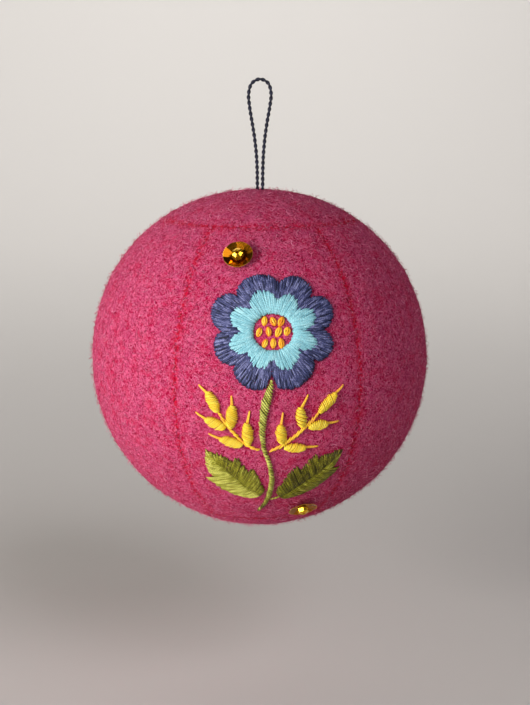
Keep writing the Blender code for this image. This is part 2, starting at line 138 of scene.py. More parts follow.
def new_mesh(name, points, edges, faces):
    mesh = bpy.data.meshes.new(name)
    mesh.from_pydata(points, edges, faces)
    return mesh


def add_object(name, data):
    """Puts a mesh, a light or a camera into the scene as an object."""
    thing = bpy.data.objects.new(name, data)
    bpy.context.scene.collection.objects.link(thing)
    return thing


def mark(mesh, name, values, domain="POINT"):
    """Keeps one number for each point or face of a mesh under a name."""
    mesh.attributes.new(name, "FLOAT", domain).data.foreach_set("value", values)


def face_outwards(mesh):
    """Turns all faces of a closed mesh outwards."""
    solid = bmesh.new()
    solid.from_mesh(mesh)
    bmesh.ops.recalc_face_normals(solid, faces=solid.faces)
    if solid.calc_volume(signed=True) < 0.0:
        bmesh.ops.reverse_faces(solid, faces=solid.faces)
    solid.to_mesh(mesh)
    solid.free()


def felt_object(name, points, faces, outer_faces, seam_tint_and_shade_marks):
    """A closed felt piece: a seam mark for its red and painted shade, and a face mark for its outer
    skin.
    """
    mesh = new_mesh(name, points, [], faces)
    mark(mesh, "seam", seam_tint_and_shade_marks)
    mark(mesh, "skin", [float(face < outer_faces) for face in range(len(faces))], "FACE")
    face_outwards(mesh)
    mesh.shade_smooth()
    mesh.set_sharp_from_angle(angle=math.radians(50.0))
    mesh.materials.append(felt_material)
    return add_object(name, mesh)


def seam_tint_and_shade(azimuth, latitude):
    """How far the seam's red and painted crease shade show there: 1 on a seam, less further from it.
    """
    return math.exp(-min(seam_distances(azimuth, latitude)) / SEAM_TINT_AND_SHADE_REACH)


def side_panel(name, middle, columns=54, rows=84):
    """A side panel with its share of the stuffing, down to the ball's axis."""
    points, marks = [], []
    for row in closer_at_seams(rows):
        for column in closer_at_seams(columns):
            latitude = row * (CAP_LATITUDE - SEAM_GAP / BALL_RADIUS)
            half_span = PANEL_SPAN / 2.0 - SEAM_GAP / (BALL_RADIUS * math.cos(latitude))
            azimuth = middle + column * half_span
            points.append(on_ball(azimuth, latitude))
            marks.append(seam_tint_and_shade(azimuth, latitude))
    wide = columns + 1
    faces = []
    for row in range(rows):
        low, high = row * wide, (row + 1) * wide
        for column in range(columns):
            faces.append((low + column, low + column + 1, high + column + 1, high + column))
    outer_faces = len(faces)
    tip = BALL_CENTRE + outward(middle, 0.0) * (2.0 * SEAM_GAP / math.sin(PANEL_SPAN / 2.0))
    for row in range(rows + 1):
        edge = points[row * wide]
        points.append(Vector((tip.x, tip.y, edge.z)))
        marks.append(0.0)
    core = (rows + 1) * wide
    for row in range(rows):
        low, high = row * wide, (row + 1) * wide
        faces.append((core + row, low, high, core + row + 1))
        faces.append((low + columns, core + row, core + row + 1, high + columns))
    last = rows * wide
    for column in range(columns):
        faces.append((core, column + 1, column))
        faces.append((core + rows, last + column, last + column + 1))
    return felt_object(name, points, faces, outer_faces, marks)


def round_cap(name, side, around=150, rings=30):
    """The top cap (side 1) or the bottom one (side -1)."""
    points, marks = [], []
    start = CAP_LATITUDE + SEAM_GAP / BALL_RADIUS
    for ring in range(rings):
        share = 1.0 - (ring / rings) ** 1.2
        for step in range(around):
            azimuth = 2.0 * math.pi * step / around
            latitude = math.pi / 2.0 - share * (math.pi / 2.0 - start)
            points.append(on_ball(azimuth, side * latitude))
            marks.append(seam_tint_and_shade(azimuth, latitude))
    points.append(on_ball(0.0, side * math.pi / 2.0))
    rim = points[0].z - BALL_CENTRE.z
    points.append(BALL_CENTRE + Vector((0.0, 0.0, rim)))
    marks += [0.0, 0.0]
    crown, middle = len(points) - 2, len(points) - 1
    faces = []
    for step in range(around):
        after = (step + 1) % around
        for ring in range(rings - 1):
            low, high = ring * around, (ring + 1) * around
            faces.append((low + step, low + after, high + after, high + step))
        inmost = (rings - 1) * around
        faces.append((inmost + step, inmost + after, crown))
    outer_faces = len(faces)
    for step in range(around):
        faces.append(((step + 1) % around, step, middle))
    return felt_object(name, points, faces, outer_faces, marks)


# Tilt and turn, in degrees, of six directions that are spread evenly in space
FIBRE_WAYS = (
    (-58.3, 90.0),
    (58.3, 90.0),
    (0.0, 58.3),
    (0.0, -58.3),
    (-31.7, 0.0),
    (-31.7, 180.0),
)
# The felt's shades as (place, colour), then the colours of what lies over them
FELT_SHADES = (
    (0.34, (0.225, 0.001, 0.029)),
    (0.45, (0.335, 0.002, 0.045)),
    (0.55, (0.480, 0.003, 0.072)),
    (0.66, (0.630, 0.042, 0.155)),
)
DARK_FIBRE = (0.155, 0.001, 0.020)
PALE_FIBRE = (0.680, 0.135, 0.270)
GREY_PATCH = (0.440, 0.036, 0.125)
CRIMSON_PATCH = (0.480, 0.004, 0.052)
# The seams' deeper red is partly the seam thread's colour and partly painted crease shade; their dark
# specks are painted shade in the crease
SEAM_RED_AND_CREASE_SHADE = (0.520, 0.002, 0.028)
SEAM_CREASE_SHADE_SPECK = (0.090, 0.001, 0.012)


def set_inputs(node, inputs):
    """Links a node's input where the value is another node's socket, and sets it otherwise."""
    for name, value in inputs.items():
        if isinstance(value, bpy.types.NodeSocket):
            node.id_data.links.new(value, node.inputs[name])
        else:
            node.inputs[name].default_value = value


def add_node(tree, kind, inputs=None, **settings):
    """A node with its settings and its inputs."""
    node = tree.nodes.new(kind)
    for setting, value in settings.items():
        setattr(node, setting, value)
    set_inputs(node, inputs or {})
    return node


def new_material(name):
    """A material with its node tree and its Principled shader."""
    material = bpy.data.materials.new(name)
    material.use_nodes = True
    return material, material.node_tree, material.node_tree.nodes["Principled BSDF"]


def calculate(tree, operation, *terms):
    """A socket with the result of a sum. Each term is a socket or a number."""
    node = add_node(tree, "ShaderNodeMath", dict(enumerate(terms)), operation=operation)
    return node.outputs["Value"]


def largest_of(tree, sockets):
    """A socket that gives the largest of the values."""
    largest = sockets[0]
    for socket in sockets[1:]:
        largest = calculate(tree, "MAXIMUM", largest, socket)
    return largest


def band(tree, socket, low, high, to_low=0.0, to_high=1.0):
    """A socket that runs from to_low to to_high while the value goes from low to high."""
    values = {"From Min": low, "From Max": high, "To Min": to_low, "To Max": to_high}
    node = add_node(tree, "ShaderNodeMapRange", {"Value": socket, **values})
    return node.outputs["Result"]


def speckled(tree, place, scale, detail, roughness=0.5):
    """A socket with noise over a place."""
    values = {"Vector": place, "Scale": scale, "Detail": detail, "Roughness": roughness}
    return add_node(tree, "ShaderNodeTexNoise", values).outputs["Fac"]


def graded(tree, value, steps):
    """A colour socket that goes through (place, colour) steps as the value grows."""
    node = add_node(tree, "ShaderNodeValToRGB", {"Fac": value})
    elements = node.color_ramp.elements
    while len(elements) < len(steps):
        elements.new(0.5)
    for element, (place, colour) in zip(elements, steps):
        element.position = place
        element.color = (*colour, 1.0)
    return node.outputs["Color"]


def mixed(tree, factor, under, over):
    """A colour socket that goes from the socket under to the plain colour over."""
    values = {"Factor": factor, "A": under, "B": (*over, 1.0)}
    return add_node(tree, "ShaderNodeMix", values, data_type="RGBA").outputs["Result"]


def raised(tree, height, strength, distance):
    """A normal socket for a surface that stands up where the height is large."""
    values = {"Height": height, "Strength": strength, "Distance": distance}
    return add_node(tree, "ShaderNodeBump", values).outputs["Normal"]


def make_felt_material():
    """Heathered wool: matted fibres that run every way, pale and dark ones over a deep pink."""
    material, tree, shader = new_material("felt_pink_wool")
    place = add_node(tree, "ShaderNodeTexCoord").outputs["Object"]
    values = {"Vector": place, "Scale": (PER_MM, PER_MM, PER_MM)}
    in_mm = add_node(tree, "ShaderNodeMapping", values).outputs["Vector"]
    values = {"Vector": in_mm, "Scale": 0.8, "Detail": 2.0}
    wander = add_node(tree, "ShaderNodeTexNoise", values).outputs["Color"]
    values = {0: wander, 1: (3.0, 3.0, 3.0), 2: in_mm}
    curly = add_node(tree, "ShaderNodeVectorMath", values, operation="MULTIPLY_ADD")
    pale_fibres, dark_fibres = [], []
    for layer, (tilt, turn) in enumerate(FIBRE_WAYS):
        combed = add_node(
            tree,
            "ShaderNodeMapping",
            {
                "Vector": curly.outputs["Vector"],
                "Location": (17.0 * layer, -9.0 * layer, 5.0 * layer),
                "Rotation": (0.0, math.radians(tilt), math.radians(turn)),
                "Scale": (1.8, 0.36, 0.36),
            },
            vector_type="TEXTURE",
        )
        streaks = speckled(tree, combed.outputs["Vector"], 1.0, 1.0)
        pale_fibres.append(band(tree, streaks, 0.585, 0.65))
        dark_fibres.append(band(tree, streaks, 0.40, 0.33))
    pale = largest_of(tree, pale_fibres)
    dark = largest_of(tree, dark_fibres)
    grain = speckled(tree, in_mm, 1.9, 2.0)
    cloud = speckled(tree, in_mm, 0.32, 4.0, 0.65)
    patchy = speckled(tree, in_mm, 1.2, 3.0, 0.7)
    # Near the seams the felt is painted a deeper red with dark specks: partly the seam's red, partly
    # painted shade in the crease
    seam = add_node(tree, "ShaderNodeAttribute", attribute_name="seam")
    near_seam_crease = band(tree, seam.outputs["Fac"], 0.2, 0.85)
    reddened_and_shaded = band(tree, patchy, 0.44, 0.56, 0.0, 0.95)
    crease_shade_specks = band(tree, grain, 0.44, 0.36, 0.0, 0.6)
    colour = graded(tree, grain, FELT_SHADES)
    for factor, over in (
        (calculate(tree, "MULTIPLY", dark, 0.6), DARK_FIBRE),
        (calculate(tree, "MULTIPLY", pale, 0.85), PALE_FIBRE),
        (band(tree, cloud, 0.50, 0.66, 0.0, 0.5), GREY_PATCH),
        (band(tree, cloud, 0.50, 0.36, 0.0, 0.5), CRIMSON_PATCH),
        (calculate(tree, "MULTIPLY", near_seam_crease, reddened_and_shaded), SEAM_RED_AND_CREASE_SHADE),
        (calculate(tree, "MULTIPLY", near_seam_crease, crease_shade_specks), SEAM_CREASE_SHADE_SPECK),
    ):
        colour = mixed(tree, factor, colour, over)
    ridges = calculate(tree, "SUBTRACT", pale, calculate(tree, "MULTIPLY", dark, 0.7))
    height = calculate(tree, "MULTIPLY_ADD", ridges, 0.5, grain)
    set_inputs(
        shader,
        {
            "Base Color": colour,
            "Normal": raised(tree, height, 0.6, 0.2 * MM),
            "Roughness": 0.95,
            "Specular IOR Level": 0.05,
            "Sheen Weight": 0.03,
            "Sheen Roughness": 0.5,
            "Sheen Tint": (1.0, 0.62, 0.70, 1.0),
        },
    )
    return material


felt_material = make_felt_material()
felt_pieces = {}
for number in range(PANEL_COUNT):
    felt_pieces[f"panel_{number + 1}"] = side_panel(f"felt_{number + 1}", number * PANEL_SPAN)
felt_pieces["cap_top"] = round_cap("felt_top", 1)
felt_pieces["cap_bottom"] = round_cap("felt_bottom", -1)
for node, piece in felt_pieces.items():
    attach(piece, "root")
    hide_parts(node)

# Seam thread: single crimson thread in small slanting stitches that close the panels edge to edge.
# The fulled wool swallows most of each stitch, so only short bits of it show in the crease.

SEAM_STITCH_PITCH = 1.9 * MM
SEAM_STITCH_REACH = 0.38 * MM
SEAM_THREAD = 0.22 * MM
SEAM_LUCK = (-0.16, 0.02)


def node_group(name, kind, given, made):
    """A node group with the sockets given to it and made by it, and its input sockets."""
    tree = bpy.data.node_groups.new(name, kind)
    for way, sockets in (("INPUT", given), ("OUTPUT", made)):
        for label, socket in sockets.items():
            tree.interface.new_socket(label, in_out=way, socket_type="NodeSocket" + socket)
    return tree, add_node(tree, "NodeGroupInput").outputs


def stored(tree, geometry, name, value, **settings):
    """A socket with the geometry, on which a value is kept under a name."""
    values = {"Geometry": geometry, "Name": name, "Value": value}
    node = add_node(tree, "GeometryNodeStoreNamedAttribute", values, **settings)
    return node.outputs["Geometry"]


def kept_value(tree, name):
    """A socket with the value that the geometry keeps under a name."""
    return add_node(tree, "GeometryNodeInputNamedAttribute", {"Name": name}).outputs["Attribute"]


def finish_tree(tree, geometry, material):
    """Ends a geometry tree with its material and its output."""
    real = add_node(tree, "GeometryNodeRealizeInstances", {"Geometry": geometry})
    values = {"Geometry": real.outputs["Geometry"], "Material": material}
    dressed = add_node(tree, "GeometryNodeSetMaterial", values)
    add_node(tree, "NodeGroupOutput", {"Geometry": dressed.outputs["Geometry"]})
    return tree


def laid_thread_tree():
    """Geometry nodes that turn lines of points into threads.

    Each line's points carry thickness, a share of the thread's radius. It is 0 at both ends, where
    merging closes the thread to a point.
    """
    tree, given = node_group(
        "laid thread",
        "GeometryNodeTree",
        {"Geometry": "Geometry", "Thread Radius": "Float", "Sides": "Int", "Material": "Material"},
        {"Geometry": "Geometry"},
    )
    lines = add_node(tree, "GeometryNodeMeshToCurve", {"Mesh": given["Geometry"]})
    along = add_node(tree, "GeometryNodeSplineParameter")
    section = add_node(
        tree,
        "GeometryNodeCurveArc",
        {
            "Resolution": calculate(tree, "ADD", given["Sides"], 1.0),
            "Radius": 1.0,
            "Start Angle": 0.0,
            "Sweep Angle": 2.0 * math.pi,
        },
    )
    around = add_node(tree, "GeometryNodeSplineParameter")
    sweep = add_node(
        tree,
        "GeometryNodeCurveToMesh",
        {
            "Curve": stored(tree, lines.outputs["Curve"], "along", along.outputs["Length"]),
            "Profile Curve": stored(
                tree, section.outputs["Curve"], "turn", around.outputs["Factor"]
            ),
            "Scale": calculate(
                tree, "MULTIPLY", kept_value(tree, "thickness"), given["Thread Radius"]
            ),
        },
    )
    in_mm = calculate(tree, "MULTIPLY", kept_value(tree, "along"), PER_MM)
    pair = add_node(tree, "ShaderNodeCombineXYZ", {"X": in_mm, "Y": kept_value(tree, "turn")})
    unwrapped = stored(
        tree,
        sweep.outputs["Mesh"],
        "UVMap",
        pair.outputs["Vector"],
        data_type="FLOAT2",
        domain="CORNER",
    )
    values = {"Geometry": unwrapped, "Distance": 0.002 * MM}
    closed = add_node(tree, "GeometryNodeMergeByDistance", values)
    values = {"Geometry": closed.outputs["Geometry"]}
    smooth = add_node(tree, "GeometryNodeSetShadeSmooth", values)
    return finish_tree(tree, smooth.outputs["Geometry"], given["Material"])


def applied(source, name, tree, values):
    """The plain mesh that a geometry node tree makes of a mesh, with the tree's inputs set."""
    carrier = add_object(name, source)
    step = carrier.modifiers.new(tree.name, "NODES")
    step.node_group = tree
    for item in tree.interface.items_tree:
        if item.in_out == "INPUT" and item.name in values:
            step[item.identifier] = values[item.name]
    graph = bpy.context.evaluated_depsgraph_get()
    mesh = bpy.data.meshes.new_from_object(carrier.evaluated_get(graph))
    bpy.data.objects.remove(carrier)
    bpy.data.meshes.remove(source)
    return mesh


def unmark(mesh, *names):
    """Takes off the numbers that only the geometry nodes need."""
    for name in names:
        if name in mesh.attributes:
            mesh.attributes.remove(mesh.attributes[name])


laid_thread = laid_thread_tree()


def sew(name, lines, radius, material, padding=None, gap_shade_tone=0.7, sides=6):
    """One mesh of threads from lines of (points, tones), with plain padding under them.

    The tones are one number for each point, or one for the whole line.
    """
    places, edges, thickness, tones = [], [], [], []
    for points, shades in lines:
        first = len(places)
        places += points
        edges += [(first + step, first + step + 1) for step in range(len(points) - 1)]
        thickness += [0.0, 0.85, *[1.0] * (len(points) - 4), 0.85, 0.0]
        tones += shades if isinstance(shades, list) else [shades] * len(points)
    source = new_mesh(name, places, edges, [])
    mark(source, "thickness", thickness)
    mark(source, "tone", tones)
    values = {"Thread Radius": radius, "Sides": sides, "Material": material}
    mesh = applied(source, name, laid_thread, values)
    # The padding has one plain tone: painted shade that shows in the gaps between the threads
    if padding:
        threads = len(mesh.vertices)
        under = new_mesh(name + " padding", *padding)
        solid = bmesh.new()
        solid.from_mesh(mesh)
        solid.from_mesh(under)
        solid.to_mesh(mesh)
        solid.free()
        bpy.data.meshes.remove(under)
        mesh.materials.clear()
        mesh.materials.append(material)
        for index in range(threads, len(mesh.vertices)):
            mesh.attributes["tone"].data[index].value = gap_shade_tone
    unmark(mesh, "along", "turn", "thickness")
    mesh.shade_smooth()
    piece = add_object(name, mesh)
    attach(piece, "root")
    return piece


def twisted_strands():
    """A shader group: the height of the plies that wind round a thread, and their tone for painted
    shade and highlight.
    """
    group, given = node_group(
        "twisted strands",
        "ShaderNodeTree",
        {"Plies": "Float", "Turns per mm": "Float"},
        {"Height": "Float", "Tone": "Float"},
    )
    unwrapped = add_node(group, "ShaderNodeUVMap", uv_map="UVMap")
    split = add_node(group, "ShaderNodeSeparateXYZ", {"Vector": unwrapped.outputs["UV"]})
    wound = calculate(group, "MULTIPLY", split.outputs["X"], given["Turns per mm"])
    turned = calculate(group, "ADD", split.outputs["Y"], wound)
    plies = calculate(group, "MULTIPLY", turned, given["Plies"])
    arch = calculate(group, "POWER", calculate(group, "PINGPONG", plies, 0.5), 0.5)
    place = add_node(group, "ShaderNodeTexCoord").outputs["Object"]
    fibres = speckled(group, place, 5200.0, 2.0, 0.6)
    rough = calculate(group, "MULTIPLY_ADD", fibres, 0.35, arch)
    add_node(group, "NodeGroupOutput", {"Height": rough, "Tone": arch})
    return group


strand_group = twisted_strands()


def thread_material(
    name, shades, ply_shade_and_highlight=(0.5, 1.15), roughness=0.5, sheen=0.0, twist=0.85, relief=0.06
):
    """Twisted cotton thread. The shades run from the darkest stitch to the palest.

    The pair after the shades darkens the thread between its plies and lightens it on them: painted
    shade and highlight.
    """
    material, tree, shader = new_material(name)
    values = {"Plies": 2.0, "Turns per mm": twist}
    plies = add_node(tree, "ShaderNodeGroup", values, node_tree=strand_group)
    tone = add_node(tree, "ShaderNodeAttribute", attribute_name="tone")
    steps = [(step / (len(shades) - 1), shade) for step, shade in enumerate(shades)]
    # The colour is darkened between the plies and lightened on them: painted shade and painted
    # highlight
    values = {
        "Vector": graded(tree, tone.outputs["Fac"], steps),
        "Scale": band(tree, plies.outputs["Tone"], 0.1, 0.7, *ply_shade_and_highlight),
    }
    shaded = add_node(tree, "ShaderNodeVectorMath", values, operation="SCALE")
    set_inputs(
        shader,
        {
            "Base Color": shaded.outputs["Vector"],
            "Normal": raised(tree, plies.outputs["Height"], 0.8, relief * MM),
            "Roughness": roughness,
            "Specular IOR Level": 0.35,
            "Sheen Weight": sheen,
            "Sheen Roughness": 0.4,
        },
    )
    return material


def variegated(tone, spread, count, chance):
    """The tones along a thread whose dye changes from place to place."""
    return [min(max(tone + chance.uniform(-spread, spread), 0.0), 1.0) for _ in range(count)]


def seam_stitch(azimuth, latitude, round_seam, chance):
    """A stitch across a seam, with a tone. It slants along the seam as it crosses it."""
    across = SEAM_STITCH_REACH * chance.uniform(0.7, 1.25)
    along = SEAM_STITCH_PITCH * chance.uniform(0.3, 0.8)
    luck = chance.uniform(*SEAM_LUCK)
    east, north = (0.5 * along, across) if round_seam else (across, 0.5 * along)
    points = []
    for share in (-1.0, -0.8, -0.4, 0.0, 0.4, 0.8, 1.0):
        turned = azimuth + east * share / (BALL_RADIUS * math.cos(latitude))
        lift = (0.13 * (1.0 - share**2) - 0.08 + luck) * MM
        points.append(on_ball(turned, latitude + north * share / BALL_RADIUS, lift))
    return points, chance.random()


seam_chance = random.Random(5)
seam_lines = []
stitches = int(2.0 * CAP_LATITUDE * BALL_RADIUS / SEAM_STITCH_PITCH)
for number in range(PANEL_COUNT):
    for stitch in range(stitches):
        latitude = CAP_LATITUDE * (2.0 * (stitch + 0.5) / stitches - 1.0)
        latitude += seam_chance.uniform(-0.006, 0.006)
        seam_lines.append(seam_stitch((number + 0.5) * PANEL_SPAN, latitude, False, seam_chance))
stitches = int(2.0 * math.pi * BALL_RADIUS * math.cos(CAP_LATITUDE) / SEAM_STITCH_PITCH)
for side in (1.0, -1.0):
    for stitch in range(stitches):
        azimuth = 2.0 * math.pi * (stitch + seam_chance.uniform(-0.15, 0.15)) / stitches
        seam_lines.append(seam_stitch(azimuth, side * CAP_LATITUDE, True, seam_chance))
seam_thread = thread_material(
    "thread_crimson", ((0.16, 0.002, 0.012), (0.58, 0.012, 0.05)), roughness=0.7
)
seam_stitches = sew("seam_stitches", seam_lines, SEAM_THREAD / 2.0, seam_thread, sides=5)

# Navy petals: the flower's outer band, eight rounded lobes of satin stitch in stranded cotton, laid
# over a little padding so that the band stands up from the felt.

FLOWER_CENTRE = (1.0 * MM, 14.1 * MM)
FIRST_NOTCH = math.radians(82.0)
LOBES = (
    # (span in degrees, reach of the navy lobe, reach of the turquoise one), in millimetres
    (41, 14.0, 9.2),
    (41, 14.6, 10.2),
    (35, 14.3, 10.3),
    (57, 13.5, 8.8),
    (48, 13.7, 8.6),
    (40, 13.9, 10.3),
    (46, 14.6, 10.2),
    (52, 13.7, 9.7),
)
NAVY_NOTCH = 10.8 * MM
BLUE_NOTCH = 6.6 * MM
# Over the stem the lobes part further: (depth of the notch, how far its sides rise)
NAVY_STEM_NOTCH = (9.2 * MM, 7.5 * MM)
BLUE_STEM_NOTCH = (5.8 * MM, 2.8 * MM)
STEM_NOTCH_ANGLE = math.radians(-92.0)
STEM_NOTCH_SPREAD = math.radians(15.0)
UNDER_BLUE = 0.7 * MM
STRAND_RADIUS = 0.2 * MM
PETAL_RISE = 0.9 * MM
NAVY_STITCHES = 230
SHORT_SHARES = (0.0, 0.08, 0.25, 0.5, 0.75, 0.92, 1.0)


def on_panel(across, up, lift=0.0):
    """The point at these distances along the felt from the middle of the front panel."""
    latitude = up / BALL_RADIUS
    return on_ball(across / (BALL_RADIUS * math.cos(latitude)), latitude, lift)


def lobed_radius(angle, notch, colour, roundness):
    """The outline of one colour of the flower: rounded lobes that meet in notches.

    colour is the column of LOBES: 1 for navy and 2 for turquoise.
    """
    turned = math.degrees(FIRST_NOTCH - angle) % 360.0
    start = 0.0
    for row in LOBES:
        span = row[0]
        if turned < start + span:
            break
        start += span
    across = min(max(2.0 * (turned - start) / span - 1.0, -1.0), 1.0)
    swell = (1.0 - abs(across) ** roundness) ** (1.0 / roundness)
    return notch + (row[colour] * MM - notch) * swell


def beside_stem(angle, notch):
    """The outline of the deep notch over the stem."""
    off_stem = abs((angle - STEM_NOTCH_ANGLE + math.pi) % (2.0 * math.pi) - math.pi)
    return notch[0] + notch[1] * off_stem / STEM_NOTCH_SPREAD


def blue_edge(angle):
    return min(lobed_radius(angle, BLUE_NOTCH, 2, 1.5), beside_stem(angle, BLUE_STEM_NOTCH))


def navy_start(angle):
    return blue_edge(angle) - UNDER_BLUE


def navy_edge(angle):
    return min(lobed_radius(angle, NAVY_NOTCH, 1, 1.9), beside_stem(angle, NAVY_STEM_NOTCH))


def navy_height(band):
    """The navy band's height from its inner edge (0) to its outer one (1)."""
    return 0.84 * PETAL_RISE * math.sqrt(max(1.0 - band**2.6, 0.0))


def stitch_dip(share, depth, reach):
    """How far a stitch dives into the felt within a reach of its ends, a share of its length."""
    return depth * (1.0 - min(share / reach, (1.0 - share) / reach, 1.0)) ** 2


def on_flower(angle, reach, lift):
    """The point at an angle and a distance from the flower's centre."""
    across = FLOWER_CENTRE[0] + reach * math.cos(angle)
    return on_panel(across, FLOWER_CENTRE[1] + reach * math.sin(angle), lift)


def petal_lines(inner, outer, height, stitches, ragged, speckle, rim, chance):
    """Long and short stitch between two outlines: an inner and an outer stitch on each radius.

    ragged is how unevenly the outer stitches end, speckle how much their tone varies, and rim the
    share of the tone that is left at the outline: painted shade where the thread turns down into the
    felt.
    """
    lines = []
    for stitch in range(stitches):
        angle = 2.0 * math.pi * (stitch + chance.uniform(-0.35, 0.35)) / stitches
        near, far = inner(angle), outer(angle)
        parted = chance.uniform(0.25, 0.75)
        end = 1.0 + chance.uniform(-ragged, ragged) / (far - near)
        for first, last in ((chance.uniform(-0.03, 0.06), parted + 0.1), (parted - 0.1, end)):
            lean = chance.uniform(-0.03, 0.03)
            lift = chance.uniform(-0.03, 0.06) * MM
            points = []
            for share in SHORT_SHARES:
                part = first + (last - first) * share
                above = height(min(max(part, 0.0), 1.0)) + lift - stitch_dip(share, 0.25 * MM, 0.2)
                turned = angle + lean * (0.5 - share)
                points.append(on_flower(turned, near + (far - near) * part, above + 0.05 * MM))
            tones = variegated(chance.uniform(0.3, 0.7), speckle, len(points), chance)
            # The outline's last points keep only the rim share of their tone: painted shade where the
            # thread turns down
            if last == end:
                tones[-2:] = [tone * rim for tone in tones[-2:]]
            lines.append((points, tones))
    return lines


def tube_faces(rows, wide, ends=False, turned=False):
    """Faces between rows of points that go round a section. The last row meets the first.

    ends closes the first and the last row with a face each instead. turned makes all faces look
    the other way.
    """
    faces = []
    for row in range(rows - 1 if ends else rows):
        low, high = row * wide, (row + 1) % rows * wide
        for column in range(wide):
            after = (column + 1) % wide
            beside, above = low + after, high + column
            if turned:
                beside, above = above, beside
            faces.append((low + column, beside, high + after, above))
    if ends:
        first, last = tuple(range(wide)), tuple(range((rows - 1) * wide, rows * wide))
        faces += [first, last[::-1]] if turned else [first[::-1], last]
    return faces


def ring_padding(inner, outer, height, steps=176, profile=9):
    """A plain closed ring between two outlines, a thread's depth under the stitches."""
    points = []
    shares = [column / (profile - 1) for column in range(profile)]
    rows = [*((share, height(share)) for share in shares), (1.0, -0.4 * MM), (0.0, -0.4 * MM)]
    for step in range(steps):
        angle = 2.0 * math.pi * step / steps
        near, far = inner(angle) + 0.15 * MM, outer(angle) - 0.2 * MM
        for share, high in rows:
            points.append(on_flower(angle, near + (far - near) * share, high - 0.05 * MM))
    return points, [], tube_faces(steps, len(rows))


navy_thread = thread_material(
    "thread_navy_cotton",
    ((0.008, 0.012, 0.045), (0.062, 0.075, 0.210), (0.240, 0.260, 0.500)),
    ply_shade_and_highlight=(0.45, 1.2),
)
petals_navy = sew(
    "navy_petals",
    petal_lines(
        navy_start, navy_edge, navy_height, NAVY_STITCHES, 0.16 * MM, 0.45, 0.3, random.Random(11)
    ),
    STRAND_RADIUS,
    navy_thread,
    ring_padding(navy_start, navy_edge, navy_height),
    gap_shade_tone=0.0,
)
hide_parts("petals_navy")

# Turquoise petals: the inner band, eight pointed petals of long and short satin stitches that run
# out from the flower's heart. Their tips end unevenly.

HEART_RADIUS = 4.3 * MM
BLUE_STITCHES = 175


def blue_height(band):
    """The turquoise band's height: it climbs from the heart and ends above the navy band."""
    return PETAL_RISE * math.sqrt(1.0 - (1.0 - band) ** 3) * (1.04 - 0.1 * band)


def heart_edge(angle):
    return (HEART_RADIUS - 0.2 * MM) * (1.0 + 0.035 * math.cos(2.0 * angle))


turquoise_thread = thread_material(
    "thread_turquoise_cotton",
    ((0.165, 0.460, 0.570), (0.290, 0.645, 0.740), (0.450, 0.800, 0.870)),
    ply_shade_and_highlight=(0.78, 1.05),
)
petals_turquoise = sew(
    "turquoise_petals",
    petal_lines(
        heart_edge, blue_edge, blue_height, BLUE_STITCHES, 0.42 * MM, 0.25, 1.0, random.Random(12)
    ),
    STRAND_RADIUS,
    turquoise_thread,
    ring_padding(heart_edge, lambda angle: blue_edge(angle) - 0.35 * MM, blue_height),
    gap_shade_tone=0.5,
)
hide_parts("petals_turquoise")

# Seed stitches: ten orange stitches in the flower's heart, each of three strands laid side by side
# through the same two holes, on the bare felt. Some are plumper or shorter than others.

SEED_LENGTH = 2.2 * MM
SEED_ROWS = (
    # (up from the flower's centre, first stitch across, pitch, stitches), in millimetres
    (2.4, -1.75, 1.8, 3),
    (0.1, -3.05, 2.07, 4),
    (-2.45, -1.85, 1.85, 3),
)
SEED_STRANDS = ((-0.36, 0.3), (0.0, 0.5), (0.36, 0.34))
SEED_THREAD = 0.23 * MM
STITCH_SHARES = (0.0, 0.05, 0.16, 0.33, 0.5, 0.67, 0.84, 0.95, 1.0)

orange_thread = thread_material(
    "thread_orange_cotton",
    ((0.82, 0.210, 0.008), (0.97, 0.460, 0.017), (1.00, 0.740, 0.078)),
    ply_shade_and_highlight=(0.8, 1.05),
    twist=0.4,
)
seed_chance = random.Random(21)
seed_number = 0
for up, first, pitch, stitches in SEED_ROWS:
    for stitch in range(stitches):
        seed_number += 1
        across = FLOWER_CENTRE[0] + (first + pitch * stitch + seed_chance.uniform(-0.12, 0.12)) * MM
        middle = FLOWER_CENTRE[1] + (up + seed_chance.uniform(-0.15, 0.15)) * MM
        lean = seed_chance.uniform(-0.4, 0.4)
        length = SEED_LENGTH * seed_chance.uniform(0.86, 1.12)
        plump = seed_chance.uniform(1.15, 1.5)
        seed_lines = []
        for aside, high in SEED_STRANDS:
            points = []
            for share in STITCH_SHARES:
                arch = math.sin(math.pi * share) ** 0.6
                along = (share - 0.5) * length
                sideways = aside * math.sin(math.pi * share) * plump * MM
                points.append(
                    on_panel(
                        across + sideways * math.cos(lean) + along * math.sin(lean),
                        middle + along * math.cos(lean) - sideways * math.sin(lean),
                        (high * arch - 0.14) * MM,
                    )
                )
            tone = seed_chance.uniform(0.15, 1.0)
            # Each strand is painted darker towards both ends, as shade where it goes down into the
            # felt
            tones = [tone * (1.0 - abs(2.0 * share - 1.0) ** 3) for share in STITCH_SHARES]
            seed_lines.append((points, tones))
        seed = sew(f"seed_stitch_{seed_number:02d}", seed_lines, SEED_THREAD, orange_thread, sides=8)
        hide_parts(f"seed_{seed_number:02d}")

# Stem: slanted satin stitch under the flower, going over to a rope of stem stitch where it grows
# thin. Variegated green cotton, yellower above and browner below.

STEM = (
    (0.6, 3.45, 0.2),
    (0.1, 1.2, 0.75),
    (-0.6, -0.9, 0.95),
    (-1.05, -3.4, 0.95),
    (-1.35, -6.0, 0.8),
    (-1.45, -9.0, 0.58),
    (-0.9, -12.8, 0.44),
    (0.25, -16.6, 0.46),
    (0.95, -21.0, 0.52),
    (0.75, -25.2, 0.55),
    (-0.2, -30.0, 0.45),
    (-1.9, -34.6, 0.15),
)
STEM_SLANTS = (math.radians(50.0), math.radians(36.0))
STEM_RISE = 0.7 * MM
STEM_THREAD = 0.21 * MM
STEM_PITCH = 0.5 * MM
PADDING_ROOT = -0.5 * MM


